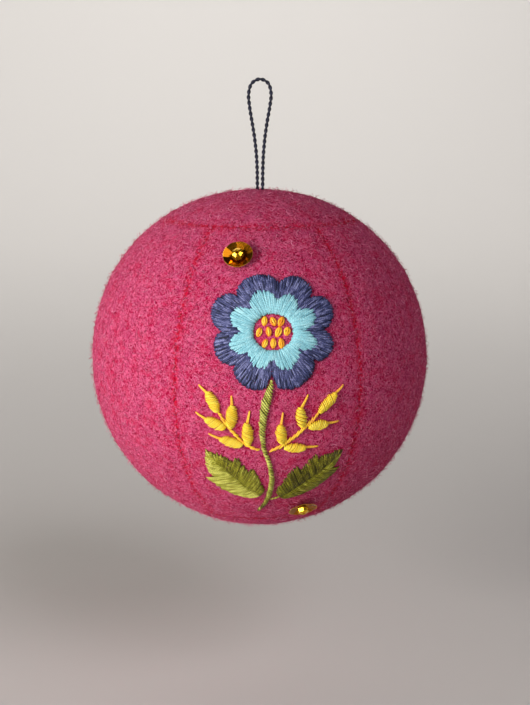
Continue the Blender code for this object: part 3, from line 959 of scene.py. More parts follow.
def smooth_through(route, count):
    """count + 1 points, evenly placed, on one smooth curve through the route's own points."""
    places = [Vector(place) for place in route]
    ends = [2.0 * places[0] - places[1], *places, 2.0 * places[-1] - places[-2]]
    fine = []
    parts = 16
    for before, first, second, after in zip(ends, ends[1:], ends[2:], ends[3:]):
        for part in range(parts):
            t = part / parts
            fine.append(
                0.5
                * (
                    2.0 * first
                    + (second - before) * t
                    + (2.0 * before - 5.0 * first + 4.0 * second - after) * t**2
                    + (3.0 * first - before - 3.0 * second + after) * t**3
                )
            )
    fine.append(places[-1])
    lengths = [0.0]
    for first, second in zip(fine, fine[1:]):
        lengths.append(lengths[-1] + (second - first).length)
    spaced, seen = [], 0
    for step in range(count + 1):
        wanted = lengths[-1] * step / count
        while seen < len(fine) - 2 and lengths[seen + 1] < wanted:
            seen += 1
        share = (wanted - lengths[seen]) / (lengths[seen + 1] - lengths[seen])
        spaced.append(fine[seen].lerp(fine[seen + 1], min(share, 1.0)))
    return spaced


class Spine:
    """A line of stitching on the front panel, with its half width at each place."""

    def __init__(self, route, count=160):
        self.points = smooth_through([Vector(row) * MM for row in route], count)
        self.length = sum(
            (second.xy - first.xy).length for first, second in zip(self.points, self.points[1:])
        )

    def at(self, distance):
        """The place, the direction and the half width at a distance from the start."""
        share = min(max(distance / self.length, 0.0), 1.0) * (len(self.points) - 1)
        index = min(int(share), len(self.points) - 2)
        first, second = self.points[index], self.points[index + 1]
        place = first.lerp(second, share - index)
        return place.xy, (second.xy - first.xy).normalized(), place.z

    def across(self, distance, side):
        """The panel point at a signed share of the half width, to the left of the direction."""
        place, along, half_width = self.at(distance)
        return place + Vector((-along.y, along.x)) * (side * half_width)


def dome(share):
    """The height of a padded shape from one edge (0) to the other (1), as a share of its rise."""
    return math.sqrt(max(1.0 - (2.0 * share - 1.0) ** 2, 0.0))


def slanted_lines(
    spine, slants, rise, pitch, ragged, tone, chance, speckle=0.15, edge_shade_tone=0.0, contrast=0.2
):
    """Satin stitches over a spine, each from its right edge behind to its left edge ahead.

    slants gives the angle between the stitches and the spine at its start and at its end. A flat
    angle on a narrow spine makes stem stitch, where each stitch lies along the one before.
    The edge tone is added where the stitches go down into the felt, as painted shade. contrast is how
    far the stitches differ in tone from each other, and speckle how far each one varies along its
    length.
    """
    lines = []
    distance = 0.0
    while distance < spine.length:
        slant = slants[0] + (slants[1] - slants[0]) * distance / spine.length
        half_width = spine.at(distance)[2]
        shift = half_width / math.tan(slant)
        behind, ahead = max(distance - shift, 0.0), min(distance + shift, spine.length)
        first = spine.across(behind, -1.0 + chance.uniform(-ragged, ragged))
        last = spine.across(ahead, 1.0 + chance.uniform(-ragged, ragged))
        lift = chance.uniform(-0.03, 0.05) * MM
        high = rise * min(1.0, half_width / (0.8 * MM)) ** 0.6
        points = []
        for share in STITCH_SHARES:
            above = high * dome(share) + lift - stitch_dip(share, 0.2 * MM, 0.1) + 0.04 * MM
            points.append(on_panel(*first.lerp(last, share), above))
        shade = tone(distance / spine.length) + chance.uniform(-contrast, contrast)
        shades = variegated(shade, speckle, len(points), chance)
        # Painted shade: the stitch ends, where they go down into the felt, take the edge tone
        for end in (0, 1, -2, -1):
            shades[end] = min(max(shades[end] + edge_shade_tone, 0.0), 1.0)
        lines.append((points, shades))
        distance += pitch / math.sin(slant) * chance.uniform(0.88, 1.12)
    return lines


def strip_padding(spine, start, end, rise, inset=0.12 * MM, steps=40, profile=7):
    """A plain closed strip, domed from edge to edge, under the stitches of a spine."""
    points = []
    for step in range(steps + 1):
        place, along, half_width = spine.at(start + (end - start) * step / steps)
        half_width = max(half_width - inset, 0.04 * MM)
        left = Vector((-along.y, along.x))
        high = rise * min(1.0, half_width / (0.8 * MM)) ** 0.7
        for column in range(profile):
            share = column / (profile - 1)
            where = place + left * (half_width * (2.0 * share - 1.0))
            points.append(on_panel(*where, high * dome(share) - 0.14 * MM))
        for side in (1.0, -1.0):
            points.append(on_panel(*(place + left * (half_width * side)), PADDING_ROOT))
    return points, [], tube_faces(steps + 1, profile + 2, ends=True, turned=True)


stem_thread = thread_material(
    "thread_green_stem",
    ((0.060, 0.040, 0.002), (0.315, 0.315, 0.032), (0.680, 0.710, 0.160)),
)
stem_spine = Spine(STEM)
stem_lines = slanted_lines(
    stem_spine,
    STEM_SLANTS,
    STEM_RISE,
    STEM_PITCH,
    0.14,
    lambda share: 0.95 - 0.5 * share,
    random.Random(31),
    speckle=0.12,
    contrast=0.34,
)
stem_pad = strip_padding(stem_spine, 0.3 * MM, stem_spine.length - 1.5 * MM, STEM_RISE * 0.75)
stem = sew("stem_stitches", stem_lines, STEM_THREAD, stem_thread, stem_pad, gap_shade_tone=0.0)
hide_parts("stem")

# Sprigs: two stalks in stem stitch, each with five plump buds. A bud is slanted satin stitch over
# padding, and one long loose stitch runs out from its tip. Golden yellow cotton.

STALKS = {
    "left": (
        (-2.0, -12.85, 0.2),
        (-3.7, -12.25, 0.3),
        (-5.4, -11.2, 0.32),
        (-7.4, -9.1, 0.3),
        (-9.1, -7.0, 0.32),
        (-10.3, -5.3, 0.28),
        (-11.2, -3.8, 0.2),
    ),
    "right": (
        (0.15, -13.15, 0.25),
        (2.05, -12.5, 0.38),
        (4.1, -10.9, 0.38),
        (6.2, -9.25, 0.36),
        (8.1, -7.5, 0.36),
        (9.7, -5.95, 0.34),
        (11.4, -4.1, 0.22),
    ),
}
BUDS = (
    # (name, base across, base up, direction, length, width, tail length, tail direction)
    ("left_1", -4.4, -11.0, 96, 5.0, 2.7, 3.0, 80),
    ("left_2", -6.2, -11.4, 167, 4.8, 2.6, 3.2, 160),
    ("left_3", -8.3, -6.9, 87, 4.8, 2.9, 2.4, 94),
    ("left_4", -9.95, -7.3, 160, 4.6, 2.6, 3.0, 150),
    ("left_5", -11.5, -3.4, 119, 4.7, 2.7, 2.7, 140),
    ("right_1", 3.0, -10.8, 97, 4.2, 2.6, 3.2, 82),
    ("right_2", 3.9, -12.4, -2, 4.4, 2.4, 3.4, -1),
    ("right_3", 7.5, -6.9, 99, 4.3, 2.6, 3.5, 62),
    ("right_4", 9.3, -7.4, 6, 4.1, 2.5, 3.3, 4),
    ("right_5", 11.6, -3.9, 47, 5.3, 2.5, 2.9, 41),
)
BUD_RISE = 0.9 * MM
BUD_SLANT = math.radians(64.0)
BUD_PITCH = 0.35 * MM
BUD_THREAD = 0.16 * MM
BUD_FOOT = 0.4
BUD_OUTLINE = (0.0, 0.04, 0.12, 0.25, 0.4, 0.55, 0.7, 0.85, 0.95, 1.0)
TAIL_STRANDS = (-0.2, -0.07, 0.07, 0.2)
STALK_SLANT = math.radians(15.0)


def pointing(angle):
    """The direction at an angle on the panel: 0 is across and a quarter turn is up."""
    return Vector((math.cos(angle), math.sin(angle)))


def stem_stitch(route, count, rise, pitch, ragged, tone, chance):
    """Stitches that lie almost along their route, each beside the one before, in one tone."""
    slants = (STALK_SLANT, STALK_SLANT)
    spine = Spine(route, count)
    return slanted_lines(spine, slants, rise, pitch, ragged, lambda share: tone, chance)


yellow_thread = thread_material(
    "thread_yellow_cotton",
    ((0.950, 0.430, 0.050), (1.000, 0.710, 0.030), (1.000, 0.850, 0.110)),
    ply_shade_and_highlight=(0.72, 1.06),
)
sprig_chance = random.Random(41)
for side, route in STALKS.items():
    stalk_lines = stem_stitch(route, 60, 0.5 * MM, 0.3 * MM, 0.15, 0.2, sprig_chance)
    stalk = sew(f"sprig_stalk_{side}", stalk_lines, 0.21 * MM, yellow_thread)
    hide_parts(f"stalk_{side}")

for name, across, up, turn, length, width, tail, tail_turn in BUDS:
    heading = pointing(math.radians(turn))
    base = Vector((across, up)) - heading * BUD_FOOT
    route = []
    for share in BUD_OUTLINE:
        swell = math.sin(math.pi * (0.03 + 0.94 * share)) ** 0.5
        place = base + heading * (length + BUD_FOOT) * share
        route.append((*place, max(width / 2.0 * swell, 0.1)))
    bud_spine = Spine(route, 80)
    bud_lines = slanted_lines(
        bud_spine,
        (BUD_SLANT, BUD_SLANT),
        BUD_RISE,
        BUD_PITCH,
        0.12,
        lambda share: 0.7,
        sprig_chance,
        # The bud's stitch ends are painted darker, as shade where they go into the felt
        edge_shade_tone=-0.4,
    )
    tail_way = pointing(math.radians(tail_turn))
    start = (base + heading * (length - 0.3)) * MM
    for strand in TAIL_STRANDS:
        points = []
        for share in STITCH_SHARES:
            place = start + tail_way * ((tail + 0.5) * share * MM)
            place += Vector((-tail_way.y, tail_way.x)) * (strand * (1.0 - 0.8 * share) * MM)
            high = 0.34 * math.sin(math.pi * share) ** 0.4 - 0.08
            points.append(on_panel(*place, high * MM))
        bud_lines.append((points, sprig_chance.uniform(0.0, 0.3)))
    bud_pad = strip_padding(
        bud_spine, 0.2 * MM, bud_spine.length - 0.2 * MM, BUD_RISE, inset=0.22 * MM, steps=16
    )
    bud = sew(f"sprig_bud_{name}", bud_lines, BUD_THREAD, yellow_thread, bud_pad, gap_shade_tone=0.2)
    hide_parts(f"bud_{name}")

# Leaves: two toothed leaves in fishbone stitch. Each stitch slants forward from the vein to the
# edge, in variegated cotton that runs from dark olive to pale green.

LEAVES = (
    # (name, base across, base up, direction, length, left edge, right edge); an edge is its width
    # and the places of its teeth as shares of the length
    ("left", -1.6, -27.1, 133, 17.1, (5.8, (0.64,)), (4.5, (0.4, 0.7))),
    ("right", 2.9, -27.9, 42, 19.2, (5.0, (0.44, 0.74)), (4.4, (0.8,))),
)
LEAF_TOOTH = 1.9 * MM
LEAF_LEAN = math.radians(38.0)
LEAF_FAN = 0.74
LEAF_VEIN = 0.86
LEAF_RISE = 0.65 * MM
LEAF_PITCH = 0.38 * MM
LEAF_STALK = ((0.85, -28.95, 0.2), (1.9, -28.5, 0.22), (2.9, -28.2, 0.16))


def leaf_reach(share, width, teeth):
    """How far a leaf's stitches reach from its vein: a broad oval with teeth that point forwards."""
    body = width * MM * math.sin(math.pi * (0.07 + 0.78 * share) ** 0.85) ** 0.75
    behind = max([0.0, *(tooth for tooth in teeth if tooth < share)])
    ahead = min([1.0, *(tooth for tooth in teeth if tooth >= share)])
    rise = (share - behind) / (ahead - behind)
    notch = 0.55 if behind > 0.0 else 0.0
    return body + LEAF_TOOTH * (0.5 * rise**3 - notch * (1.0 - rise) ** 2)


def leaf_stitch(row, share, side, edge):
    """The foot, the direction and the reach of a leaf's stitch at a share of its vein."""
    heading = math.radians(row[3])
    foot = Vector(row[1:3]) * MM
    foot += pointing(heading) * (row[4] * MM * (0.02 + 0.98 * share) * LEAF_VEIN)
    fan = max(share - LEAF_FAN, 0.0) / (1.0 - LEAF_FAN)
    lean = LEAF_LEAN * (0.35 + 0.65 * share)
    slant = heading + side * (math.pi / 2.0 - lean) * (1.0 - fan**1.5)
    return foot, pointing(slant), leaf_reach(share, *edge)


def leaf_height(out, reach):
    """A leaf's height from its vein (0) to its edge (1): the vein lies in a shallow hollow."""
    high = LEAF_RISE * math.sqrt(max(1.0 - out**2, 0.0)) * min(1.0, reach / MM)
    return high * (0.72 + 0.28 * min(out / 0.25, 1.0))


def leaf_lines(row, shades, chance):
    """Fishbone stitches on both sides of the vein, with short ones between them near the edge."""
    lines = []
    count = 2 * int(row[4] * MM * LEAF_VEIN / LEAF_PITCH)
    for side, edge, (dark, light) in ((1.0, row[5], shades[0]), (-1.0, row[6], shades[1])):
        for step in range(count + 1):
            share = min(max((step + chance.uniform(-0.3, 0.3)) / count, 0.0), 1.0)
            whole = step % 2 == 0
            if not whole and share < LEAF_FAN and chance.random() < 0.55:
                continue
            foot, way, reach = leaf_stitch(row, share, side, edge)
            start = -0.04 if whole else chance.uniform(0.25, 0.5)
            end = 1.0 + chance.uniform(-0.12, 0.08)
            lift = chance.uniform(-0.03, 0.06) * MM
            points = []
            for part in STITCH_SHARES:
                out = start + (end - start) * part
                dive = 0.22 * MM * (1.0 - min(part / 0.12, (1.0 - part) / 0.1, 1.0)) ** 2
                above = leaf_height(out, reach) + lift - dive + 0.04 * MM
                points.append(on_panel(*(foot + way * (reach * out)), above))
            patch = 0.5 + 0.5 * math.sin(share * 9.0 + side * 1.3)
            tone = dark + (light - dark) * (0.3 * patch + 0.7 * chance.random())
            lines.append((points, variegated(tone, 0.28, len(points), chance)))
    return lines


def leaf_padding(row, steps=48):
    """A plain closed leaf shape under the stitches."""
    points = []
    parts = (1.0, 0.8, 0.5, 0.2)
    for step in range(steps + 1):
        share = step / steps
        upper, lower = [], []
        for side, edge in ((1.0, row[5]), (-1.0, row[6])):
            foot, way, reach = leaf_stitch(row, share, side, edge)
            inset = max(reach - 0.3 * MM, 0.05 * MM)
            for part in parts if side > 0.0 else parts[::-1]:
                place = foot + way * (inset * part)
                upper.append(on_panel(*place, leaf_height(part, reach) - 0.16 * MM))
            lower.insert(0, on_panel(*(foot + way * inset), PADDING_ROOT))
        points += upper + lower
    return points, [], tube_faces(steps + 1, 2 * len(parts) + 2, ends=True)


leaf_thread = thread_material(
    "thread_green_leaf",
    (
        (0.050, 0.042, 0.001),
        (0.150, 0.135, 0.004),
        (0.290, 0.285, 0.015),
        (0.580, 0.580, 0.110),
    ),
    ply_shade_and_highlight=(0.35, 1.35),
)
leaf_chance = random.Random(51)
LEAF_SHADES = {"left": ((0.62, 1.0), (0.25, 0.72)), "right": ((0.0, 0.48), (0.2, 0.75))}
for row in LEAVES:
    piece = sew(
        f"leaf_stitches_{row[0]}",
        leaf_lines(row, LEAF_SHADES[row[0]], leaf_chance),
        0.17 * MM,
        leaf_thread,
        leaf_padding(row),
        gap_shade_tone=0.35,
    )
    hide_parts(f"leaf_{row[0]}")
leaf_stalk_lines = stem_stitch(LEAF_STALK, 20, 0.4 * MM, 0.2 * MM, 0.1, 0.9, leaf_chance)
leaf_stalk = sew("leaf_stalk_stitch", leaf_stalk_lines, 0.17 * MM, leaf_thread)
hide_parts("leaf_stalk")

# Cup sequins and beads: a thin metallised cup pressed into flat facets, open outwards, held by a
# faceted gold bead that sits in its hollow. One above the flower and one under the right leaf.

SEQUINS = (
    # (name, across, up, turn of the cup, turn of the bead, tip), angles in degrees
    ("upper", -6.2, 31.7, 34.5, 53.0, 3.0),
    ("lower", 8.6, -32.7, 40.0, 55.5, 7.0),
)
SEQUIN_RADIUS = 3.3 * MM
SEQUIN_DEPTH = 1.05 * MM
SEQUIN_THICKNESS = 0.12 * MM
SEQUIN_HOLE = 0.5 * MM
SEQUIN_FLOOR = 0.95 * MM
SEQUIN_FACETS = 8
BEAD_RADIUS = 1.35 * MM
BEAD_HEIGHT = 1.9 * MM
BEAD_HOLE = 0.36 * MM
BEAD_FOOT = 0.45 * MM + SEQUIN_THICKNESS
BEAD_FACETS = 7
SEQUIN_LIP = ((0.05, 0.02), (0.09, -0.03), (0.06, -0.1))
CUP_RADII = (SEQUIN_HOLE, SEQUIN_FLOOR, 1.5 * MM, 2.1 * MM, 2.7 * MM, 3.1 * MM, SEQUIN_RADIUS)
CUP_PROFILE = 2 * len(CUP_RADII) + len(SEQUIN_LIP)
# The lip's faces, which get the bright gold as a painted highlight
CUP_LIP_HIGHLIGHT_FACES = range(len(CUP_RADII) - 1, len(CUP_RADII) + len(SEQUIN_LIP))
# The bead's outline as (radius, height in halves of its own height)
BEAD_PROFILE = (
    (BEAD_HOLE, 0.12),
    (0.62 * BEAD_RADIUS, 0.0),
    (1.08 * BEAD_RADIUS, 0.6),
    (0.94 * BEAD_RADIUS, 1.6),
    (0.48 * BEAD_RADIUS, 2.0),
    (BEAD_HOLE, 1.88),
)


def gold(name, colour, roughness, scuffed, metallic):
    """A metallised finish with fine scratches and small uneven patches in its shine."""
    material, tree, shader = new_material(name)
    place = add_node(tree, "ShaderNodeTexCoord").outputs["Object"]
    wear = speckled(tree, place, 900.0, 5.0, 0.7)
    shades = ((0.3, [part * 0.72 for part in colour]), (0.7, colour))
    set_inputs(
        shader,
        {
            "Base Color": graded(tree, wear, shades),
            "Roughness": band(tree, wear, 0.35, 0.75, roughness, roughness + scuffed),
            "Normal": raised(tree, wear, 0.25, 0.02 * MM),
            "Metallic": metallic,
        },
    )
    return material


def cup_height(radius, angle):
    """The height of a sequin's hollow side: a flat floor, then flat facets up to the rim."""
    facet = 2.0 * math.pi / SEQUIN_FACETS
    off_middle = (angle + facet / 2.0) % facet - facet / 2.0
    slope = (radius * math.cos(off_middle) - SEQUIN_FLOOR) / (SEQUIN_RADIUS - SEQUIN_FLOOR)
    return SEQUIN_DEPTH * max(slope, 0.0)


def cup_outline(angle):
    """A sequin's (radius, height) outline: out over its hollow side, round the lip and back."""
    upper = [(r, cup_height(r, angle) + 0.3 * MM + SEQUIN_THICKNESS) for r in CUP_RADII]
    lip = [(SEQUIN_RADIUS + out * MM, upper[-1][1] + up * MM) for out, up in SEQUIN_LIP]
    lower = [(r, height - SEQUIN_THICKNESS) for r, height in reversed(upper)]
    return [*upper, *lip, *lower]


def bead_outline(_):
    """A bead's outline, the same at every angle."""
    return [(radius, BEAD_FOOT + height * BEAD_HEIGHT / 2.0) for radius, height in BEAD_PROFILE]


def set_on_felt(name, outline, around, turn, place, tip, material):
    """A trim with an outline at each of its angles, stood on the front panel at a place."""
    foot = on_panel(place[0] * MM, place[1] * MM)
    normal = (foot - BALL_CENTRE).normalized()
    stand = Matrix.Translation(foot) @ normal.to_track_quat("Z", "Y").to_matrix().to_4x4()
    stand = stand @ Matrix.Rotation(math.radians(tip), 4, "X")
    points = []
    for step in range(around):
        angle = 2.0 * math.pi * step / around
        turned = Matrix.Rotation(angle + math.radians(turn), 3, "Z")
        for radius, height in outline(angle):
            points.append(stand @ (turned @ Vector((radius, 0.0, height))))
    faces = tube_faces(around, len(points) // around, turned=True)
    mesh = new_mesh(name, points, [], faces)
    face_outwards(mesh)
    mesh.materials.append(material)
    piece = add_object(name, mesh)
    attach(piece, "root")
    return piece


# The cup is a dark bronze gold: partly its own colour, partly a painted dark reflection of its
# surroundings
sequin_gold_dark_reflection = gold("sequin_bronze_gold", (0.42, 0.15, 0.006), 0.22, 0.12, 1.0)
bead_and_lip_highlight_gold = gold("bead_bright_gold", (1.0, 0.56, 0.03), 0.12, 0.1, 0.85)
for name, across, up, cup_turn, bead_turn, tip in SEQUINS:
    place = (across, up)
    sequin = set_on_felt(
        f"cup_sequin_{name}", cup_outline, 96, cup_turn, place, tip, sequin_gold_dark_reflection
    )
    # The lip takes the bright bead gold: a painted highlight round the cup's rim
    sequin.data.materials.append(bead_and_lip_highlight_gold)
    for face in sequin.data.polygons:
        face.material_index = int(face.index % CUP_PROFILE in CUP_LIP_HIGHLIGHT_FACES)
    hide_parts(f"sequin_{name}")
    bead = set_on_felt(
        f"faceted_bead_{name}", bead_outline, BEAD_FACETS, bead_turn, place, tip, bead_and_lip_highlight_gold
    )
    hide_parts(f"bead_{name}")

# Hanging loop: about 57 mm of thin two-ply navy cord. Both ends go through one hole in the top cap
# and are knotted inside, and the loop hangs from a twig at its crown.

CORD_DIAMETER = 1.0 * MM
CORD_TWIST = 2.6 * MM
LOOP_ROUTE = (
    (-0.65, -25.65),
    (-0.66, -23.8),
    (-0.72, -20.5),
    (-0.95, -16.8),
    (-1.4, -13.0),
    (-2.0, -9.3),
    (-2.55, -5.9),
    (-2.75, -3.0),
    (-2.0, -0.5),
    (0.0, 0.5),
    (2.0, -0.5),
    (2.7, -3.0),
    (2.4, -5.9),
    (1.8, -9.3),
    (1.25, -13.0),
    (0.88, -16.8),
    (0.7, -20.5),
    (0.66, -23.8),
    (0.65, -25.65),
)
SUNK_END = 0.75 * MM


def loop_line():
    """The cord's centreline, with both ends carried on into the felt."""
    line = smooth_through([Vector((across, 0.0, up)) * MM for across, up in LOOP_ROUTE], 180)
    first = line[0] + Vector((0.15 * MM, 0.0, -SUNK_END))
    last = line[-1] + Vector((-0.15 * MM, 0.0, -SUNK_END))
    return [first, *line, last]


def two_ply_tube(line, around=14):
    """A tube with the section of two plies that wind round each other along the line."""
    points, unwrapped = [], []
    travelled = 0.0
    for step, place in enumerate(line):
        ahead = line[min(step + 1, len(line) - 1)]
        behind = line[max(step - 1, 0)]
        along = (ahead - behind).normalized()
        aside = Vector((0.0, 1.0, 0.0))
        upright = along.cross(aside)
        if step:
            travelled += (place - behind).length
        wound = 2.0 * math.pi * travelled / CORD_TWIST
        for corner in range(around):
            angle = 2.0 * math.pi * corner / around
            ply = max(abs(math.cos(angle)), 0.6)
            turned = angle + wound
            way = aside * math.cos(turned) + upright * math.sin(turned)
            points.append(place + way * (CORD_DIAMETER / 2.0 * ply))
            unwrapped.append((travelled * PER_MM, corner / around))
    return points, tube_faces(len(line), around, ends=True), unwrapped


cord_path = loop_line()
cord_points, cord_faces, cord_unwrapped = two_ply_tube(cord_path)
cord_mesh = new_mesh("hanging_cord", cord_points, [], cord_faces)
cord_map = cord_mesh.uv_layers.new(name="UVMap")
for face in cord_mesh.polygons:
    seam_face = max(cord_unwrapped[v][1] for v in face.vertices) > 0.9
    for loop in face.loop_indices:
        length, turn = cord_unwrapped[cord_mesh.loops[loop].vertex_index]
        if seam_face and turn < 0.1 and len(face.vertices) == 4:
            turn = 1.0
        cord_map.data[loop].uv = (length, turn)
mark(cord_mesh, "tone", [0.5 + 0.5 * noise.noise(place * 900.0) for place in cord_points])
face_outwards(cord_mesh)
cord_mesh.shade_smooth()
cord_mesh.materials.append(
    thread_material(
        "cord_navy_cotton",
        ((0.004, 0.005, 0.014), (0.012, 0.016, 0.045)),
        roughness=0.6,
        sheen=0.3,
        twist=1.3,
        relief=0.04,
    )
)
cord = add_object("hanging_cord", cord_mesh)
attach(cord, "root")
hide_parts("hanging_loop")

# Loose fibres: the fulled felt is brushed by handling, so short curled hairs of its own wool lie
# on it and stand out at its outline. None grow where thread covers the felt.

FIBRES_PER_SQUARE_MM = 1.6
FIBRE_CURL = 0.62 * MM
FIBRE_RADIUS = 0.03 * MM
CLEAR_OF_THREAD = 0.8 * MM
HAIR_SHADES = (
    (0.0, (0.28, 0.004, 0.040)),
    (0.5, (0.60, 0.050, 0.160)),
    (1.0, (0.84, 0.340, 0.520)),
)


def loose_fibre_tree():
    """Geometry nodes that scatter short curled hairs over a felt piece's outer skin."""
    tree, given = node_group(
        "loose fibres",
        "GeometryNodeTree",
        {
            "Geometry": "Geometry",
            "Hairs per Area": "Float",
            "Curl Radius": "Float",
            "Hair Radius": "Float",
            "Seed": "Int",
            "Material": "Material",
        },
        {"Geometry": "Geometry"},
    )
    dense = calculate(tree, "MULTIPLY", kept_value(tree, "bare"), given["Hairs per Area"])
    dense = calculate(tree, "MULTIPLY", dense, kept_value(tree, "skin"))
    values = {"Mesh": given["Geometry"], "Density": dense, "Seed": given["Seed"]}
    roots = add_node(tree, "GeometryNodeDistributePointsOnFaces", values)
    curl = add_node(
        tree,
        "GeometryNodeCurveArc",
        {
            "Resolution": 4,
            "Radius": given["Curl Radius"],
            "Start Angle": 0.0,
            "Sweep Angle": math.radians(115.0),
        },
    )
    values = {"Resolution": 3, "Radius": given["Hair Radius"]}
    section = add_node(tree, "GeometryNodeCurvePrimitiveCircle", values)
    values = {"Curve": curl.outputs["Curve"], "Profile Curve": section.outputs["Curve"]}
    hair = add_node(tree, "GeometryNodeCurveToMesh", values)
    back = calculate(tree, "MULTIPLY", given["Curl Radius"], -1.0)
    to_root = add_node(tree, "ShaderNodeCombineXYZ", {"X": back, "Z": -0.05 * MM})
    stood = add_node(
        tree,
        "GeometryNodeTransform",
        {
            "Geometry": hair.outputs["Mesh"],
            "Translation": to_root.outputs["Vector"],
            "Rotation": (math.pi / 2.0, 0.0, 0.0),
        },
    )
    lean = add_node(
        tree,
        "FunctionNodeRandomValue",
        {
            "Min": (math.radians(60.0), math.radians(-50.0), 0.0),
            "Max": (math.radians(96.0), math.radians(50.0), 2.0 * math.pi),
            "Seed": 3,
        },
        data_type="FLOAT_VECTOR",
    )
    to_turn = add_node(tree, "FunctionNodeEulerToRotation", {"Euler": lean.outputs["Value"]})
    values = {"Rotation": roots.outputs["Rotation"], "Rotate By": to_turn.outputs["Rotation"]}
    turned = add_node(tree, "FunctionNodeRotateRotation", values, rotation_space="LOCAL")
    values = {2: 0.45, 3: 1.35, "Seed": 9}
    size = add_node(tree, "FunctionNodeRandomValue", values, data_type="FLOAT")
    planted = add_node(
        tree,
        "GeometryNodeInstanceOnPoints",
        {
            "Points": roots.outputs["Points"],
            "Instance": stood.outputs["Geometry"],
            "Rotation": turned.outputs["Rotation"],
            "Scale": size.outputs[1],
        },
    )
    shade = add_node(tree, "FunctionNodeRandomValue", {"Seed": 14}, data_type="FLOAT")
    toned = stored(tree, planted.outputs["Instances"], "tone", shade.outputs[1], domain="INSTANCE")
    return finish_tree(tree, toned, given["Material"])


def make_fibre_material():
    """Single wool hairs, from crimson to a pale pink that catches the light."""
    material, tree, shader = new_material("felt_loose_wool")
    tone = add_node(tree, "ShaderNodeAttribute", attribute_name="tone")
    colour = graded(tree, tone.outputs["Fac"], HAIR_SHADES)
    set_inputs(shader, {"Base Color": colour, "Roughness": 0.8, "Specular IOR Level": 0.2})
    return material


THREADED = ("navy_", "turquoise_", "stem_", "sprig_", "leaf_st", "seed_st", "cup_sequin")

covered = []
for piece in list(bpy.data.objects):
    if piece.name.startswith(THREADED):
        every = range(0, len(piece.data.vertices), 11)
        covered += [piece.data.vertices[index].co.copy() for index in every]
thread_tree = kdtree.KDTree(len(covered))
for index, place in enumerate(covered):
    thread_tree.insert(place, index)
thread_tree.balance()
loose_fibres = loose_fibre_tree()
fibre_material = make_fibre_material()
for number, (node, piece) in enumerate(felt_pieces.items()):
    name = f"felt_fuzz_{number + 1}"
    source = piece.data.copy()
    bare = [1.0] * len(source.vertices)
    if node == "panel_1":
        for vertex in source.vertices:
            bare[vertex.index] = min(thread_tree.find(vertex.co)[2] / CLEAR_OF_THREAD, 1.0) ** 2
    mark(source, "bare", bare)
    values = {
        "Hairs per Area": FIBRES_PER_SQUARE_MM / MM**2,
        "Curl Radius": FIBRE_CURL,
        "Hair Radius": FIBRE_RADIUS,
        "Seed": number,
        "Material": fibre_material,
    }
    hairs = applied(source, name, loose_fibres, values)
    unmark(hairs, "skin", "seam", "bare")
    fuzz = add_object(name, hairs)
    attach(fuzz, "root")

# The studio: a pale floor under the hanging ball that curves up into a plain backdrop. As the photo's
# light falls, a large soft key stands low on the left, with a weak fill and little from overhead. A
# wide lamp of its own lights the backdrop.

CAMERA_AZIMUTH = math.radians(-2.7)
CAMERA_ELEVATION = math.radians(12.0)
CAMERA_DISTANCE = 7.5 * BALL_RADIUS
FRAME_HEIGHT = 705
FOCAL_PIXELS = 1245.0
BALL_OFF_CENTRE = (-5.0, 4.0)
FLOOR_DROP = -0.150
FLOOR_FRONT, FLOOR_BACK = -1.6, 0.7
FLOOR_HALF_WIDTH = 2.5
BEND_RADIUS = 0.5
BEND_STEPS = 12
WALL_TOP = 2.4
BACKDROP_FACING = Vector((0.0, -1.0, 0.5))

profile = [(FLOOR_FRONT, 0.0), (FLOOR_BACK, 0.0)]
for step in range(1, BEND_STEPS + 1):
    angle = math.pi / 2.0 * step / BEND_STEPS
    out, up = BEND_RADIUS * math.sin(angle), BEND_RADIUS - BEND_RADIUS * math.cos(angle)
    profile.append((FLOOR_BACK + out, up))
profile.append((FLOOR_BACK + BEND_RADIUS, WALL_TOP))
backdrop_points = []
for out, up in profile:
    for across in (-FLOOR_HALF_WIDTH, FLOOR_HALF_WIDTH):
        backdrop_points.append((across, out, FLOOR_DROP + up))
backdrop_faces = [(low, low + 1, low + 3, low + 2) for low in range(0, 2 * len(profile) - 2, 2)]
backdrop_mesh = new_mesh("studio_floor", backdrop_points, [], backdrop_faces)
backdrop_mesh.shade_smooth()
floor_material, _, floor_shader = new_material("studio_pale_paper")
set_inputs(floor_shader, {"Base Color": (0.62, 0.605, 0.585, 1.0), "Roughness": 0.9})
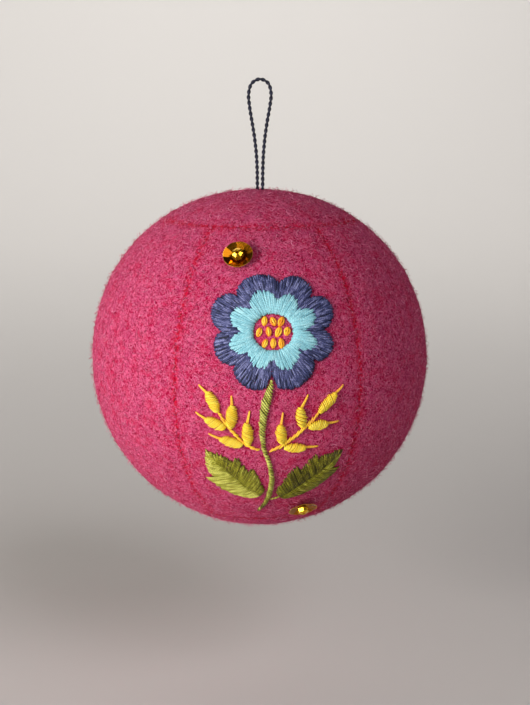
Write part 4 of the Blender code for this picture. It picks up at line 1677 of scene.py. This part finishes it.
backdrop_mesh.materials.append(floor_material)
backdrop = add_object("studio_floor", backdrop_mesh)


def soft_light(name, azimuth, elevation, distance, size, power, colour, faces_ball=True):
    """A square soft light that faces the ball, or the backdrop behind it.

    Azimuth grows from -Y towards +X.
    """
    lamp = bpy.data.lights.new(name, "AREA")
    lamp.shape = "SQUARE"
    lamp.size = size
    lamp.energy = power
    lamp.color = colour
    light = add_object(name, lamp)
    way = outward(math.radians(azimuth), math.radians(elevation))
    light.location = BALL_CENTRE + way * distance
    away = way if faces_ball else BACKDROP_FACING
    light.rotation_euler = away.to_track_quat("Z", "Y").to_euler()


soft_light("key_left", -52.0, 8.0, 0.75, 0.42, 7.8, (1.0, 0.95, 0.90))
soft_light("fill_right", 38.0, 42.0, 1.2, 0.6, 4.8, (1.0, 0.95, 0.98))
soft_light("backdrop_wash", 180.0, 60.0, 1.3, 1.3, 15.0, (1.0, 0.98, 0.96), faces_ball=False)

world = bpy.data.worlds.new("studio")
world.use_nodes = True
sky = world.node_tree
sky_way = add_node(sky, "ShaderNodeTexCoord").outputs["Generated"]
sky_split = add_node(sky, "ShaderNodeSeparateXYZ", {"Vector": sky_way})
dim_overhead = band(sky, sky_split.outputs["Z"], 0.0, 0.7, 0.075, 0.02)
set_inputs(sky.nodes["Background"], {"Color": (0.9, 0.92, 0.95, 1.0), "Strength": dim_overhead})
bpy.context.scene.world = world
bpy.context.scene.view_settings.view_transform = "Standard"

lens = bpy.data.cameras.new("camera")
lens.sensor_width = 36.0
lens.lens = 36.0 * FOCAL_PIXELS / FRAME_HEIGHT
lens.shift_x = -BALL_OFF_CENTRE[0] / FRAME_HEIGHT
lens.shift_y = BALL_OFF_CENTRE[1] / FRAME_HEIGHT
lens.clip_start = 0.01
camera = add_object("camera", lens)
towards = outward(CAMERA_AZIMUTH, CAMERA_ELEVATION)
camera.location = BALL_CENTRE + towards * CAMERA_DISTANCE
camera.rotation_euler = towards.to_track_quat("Z", "Y").to_euler()
bpy.context.scene.camera = camera
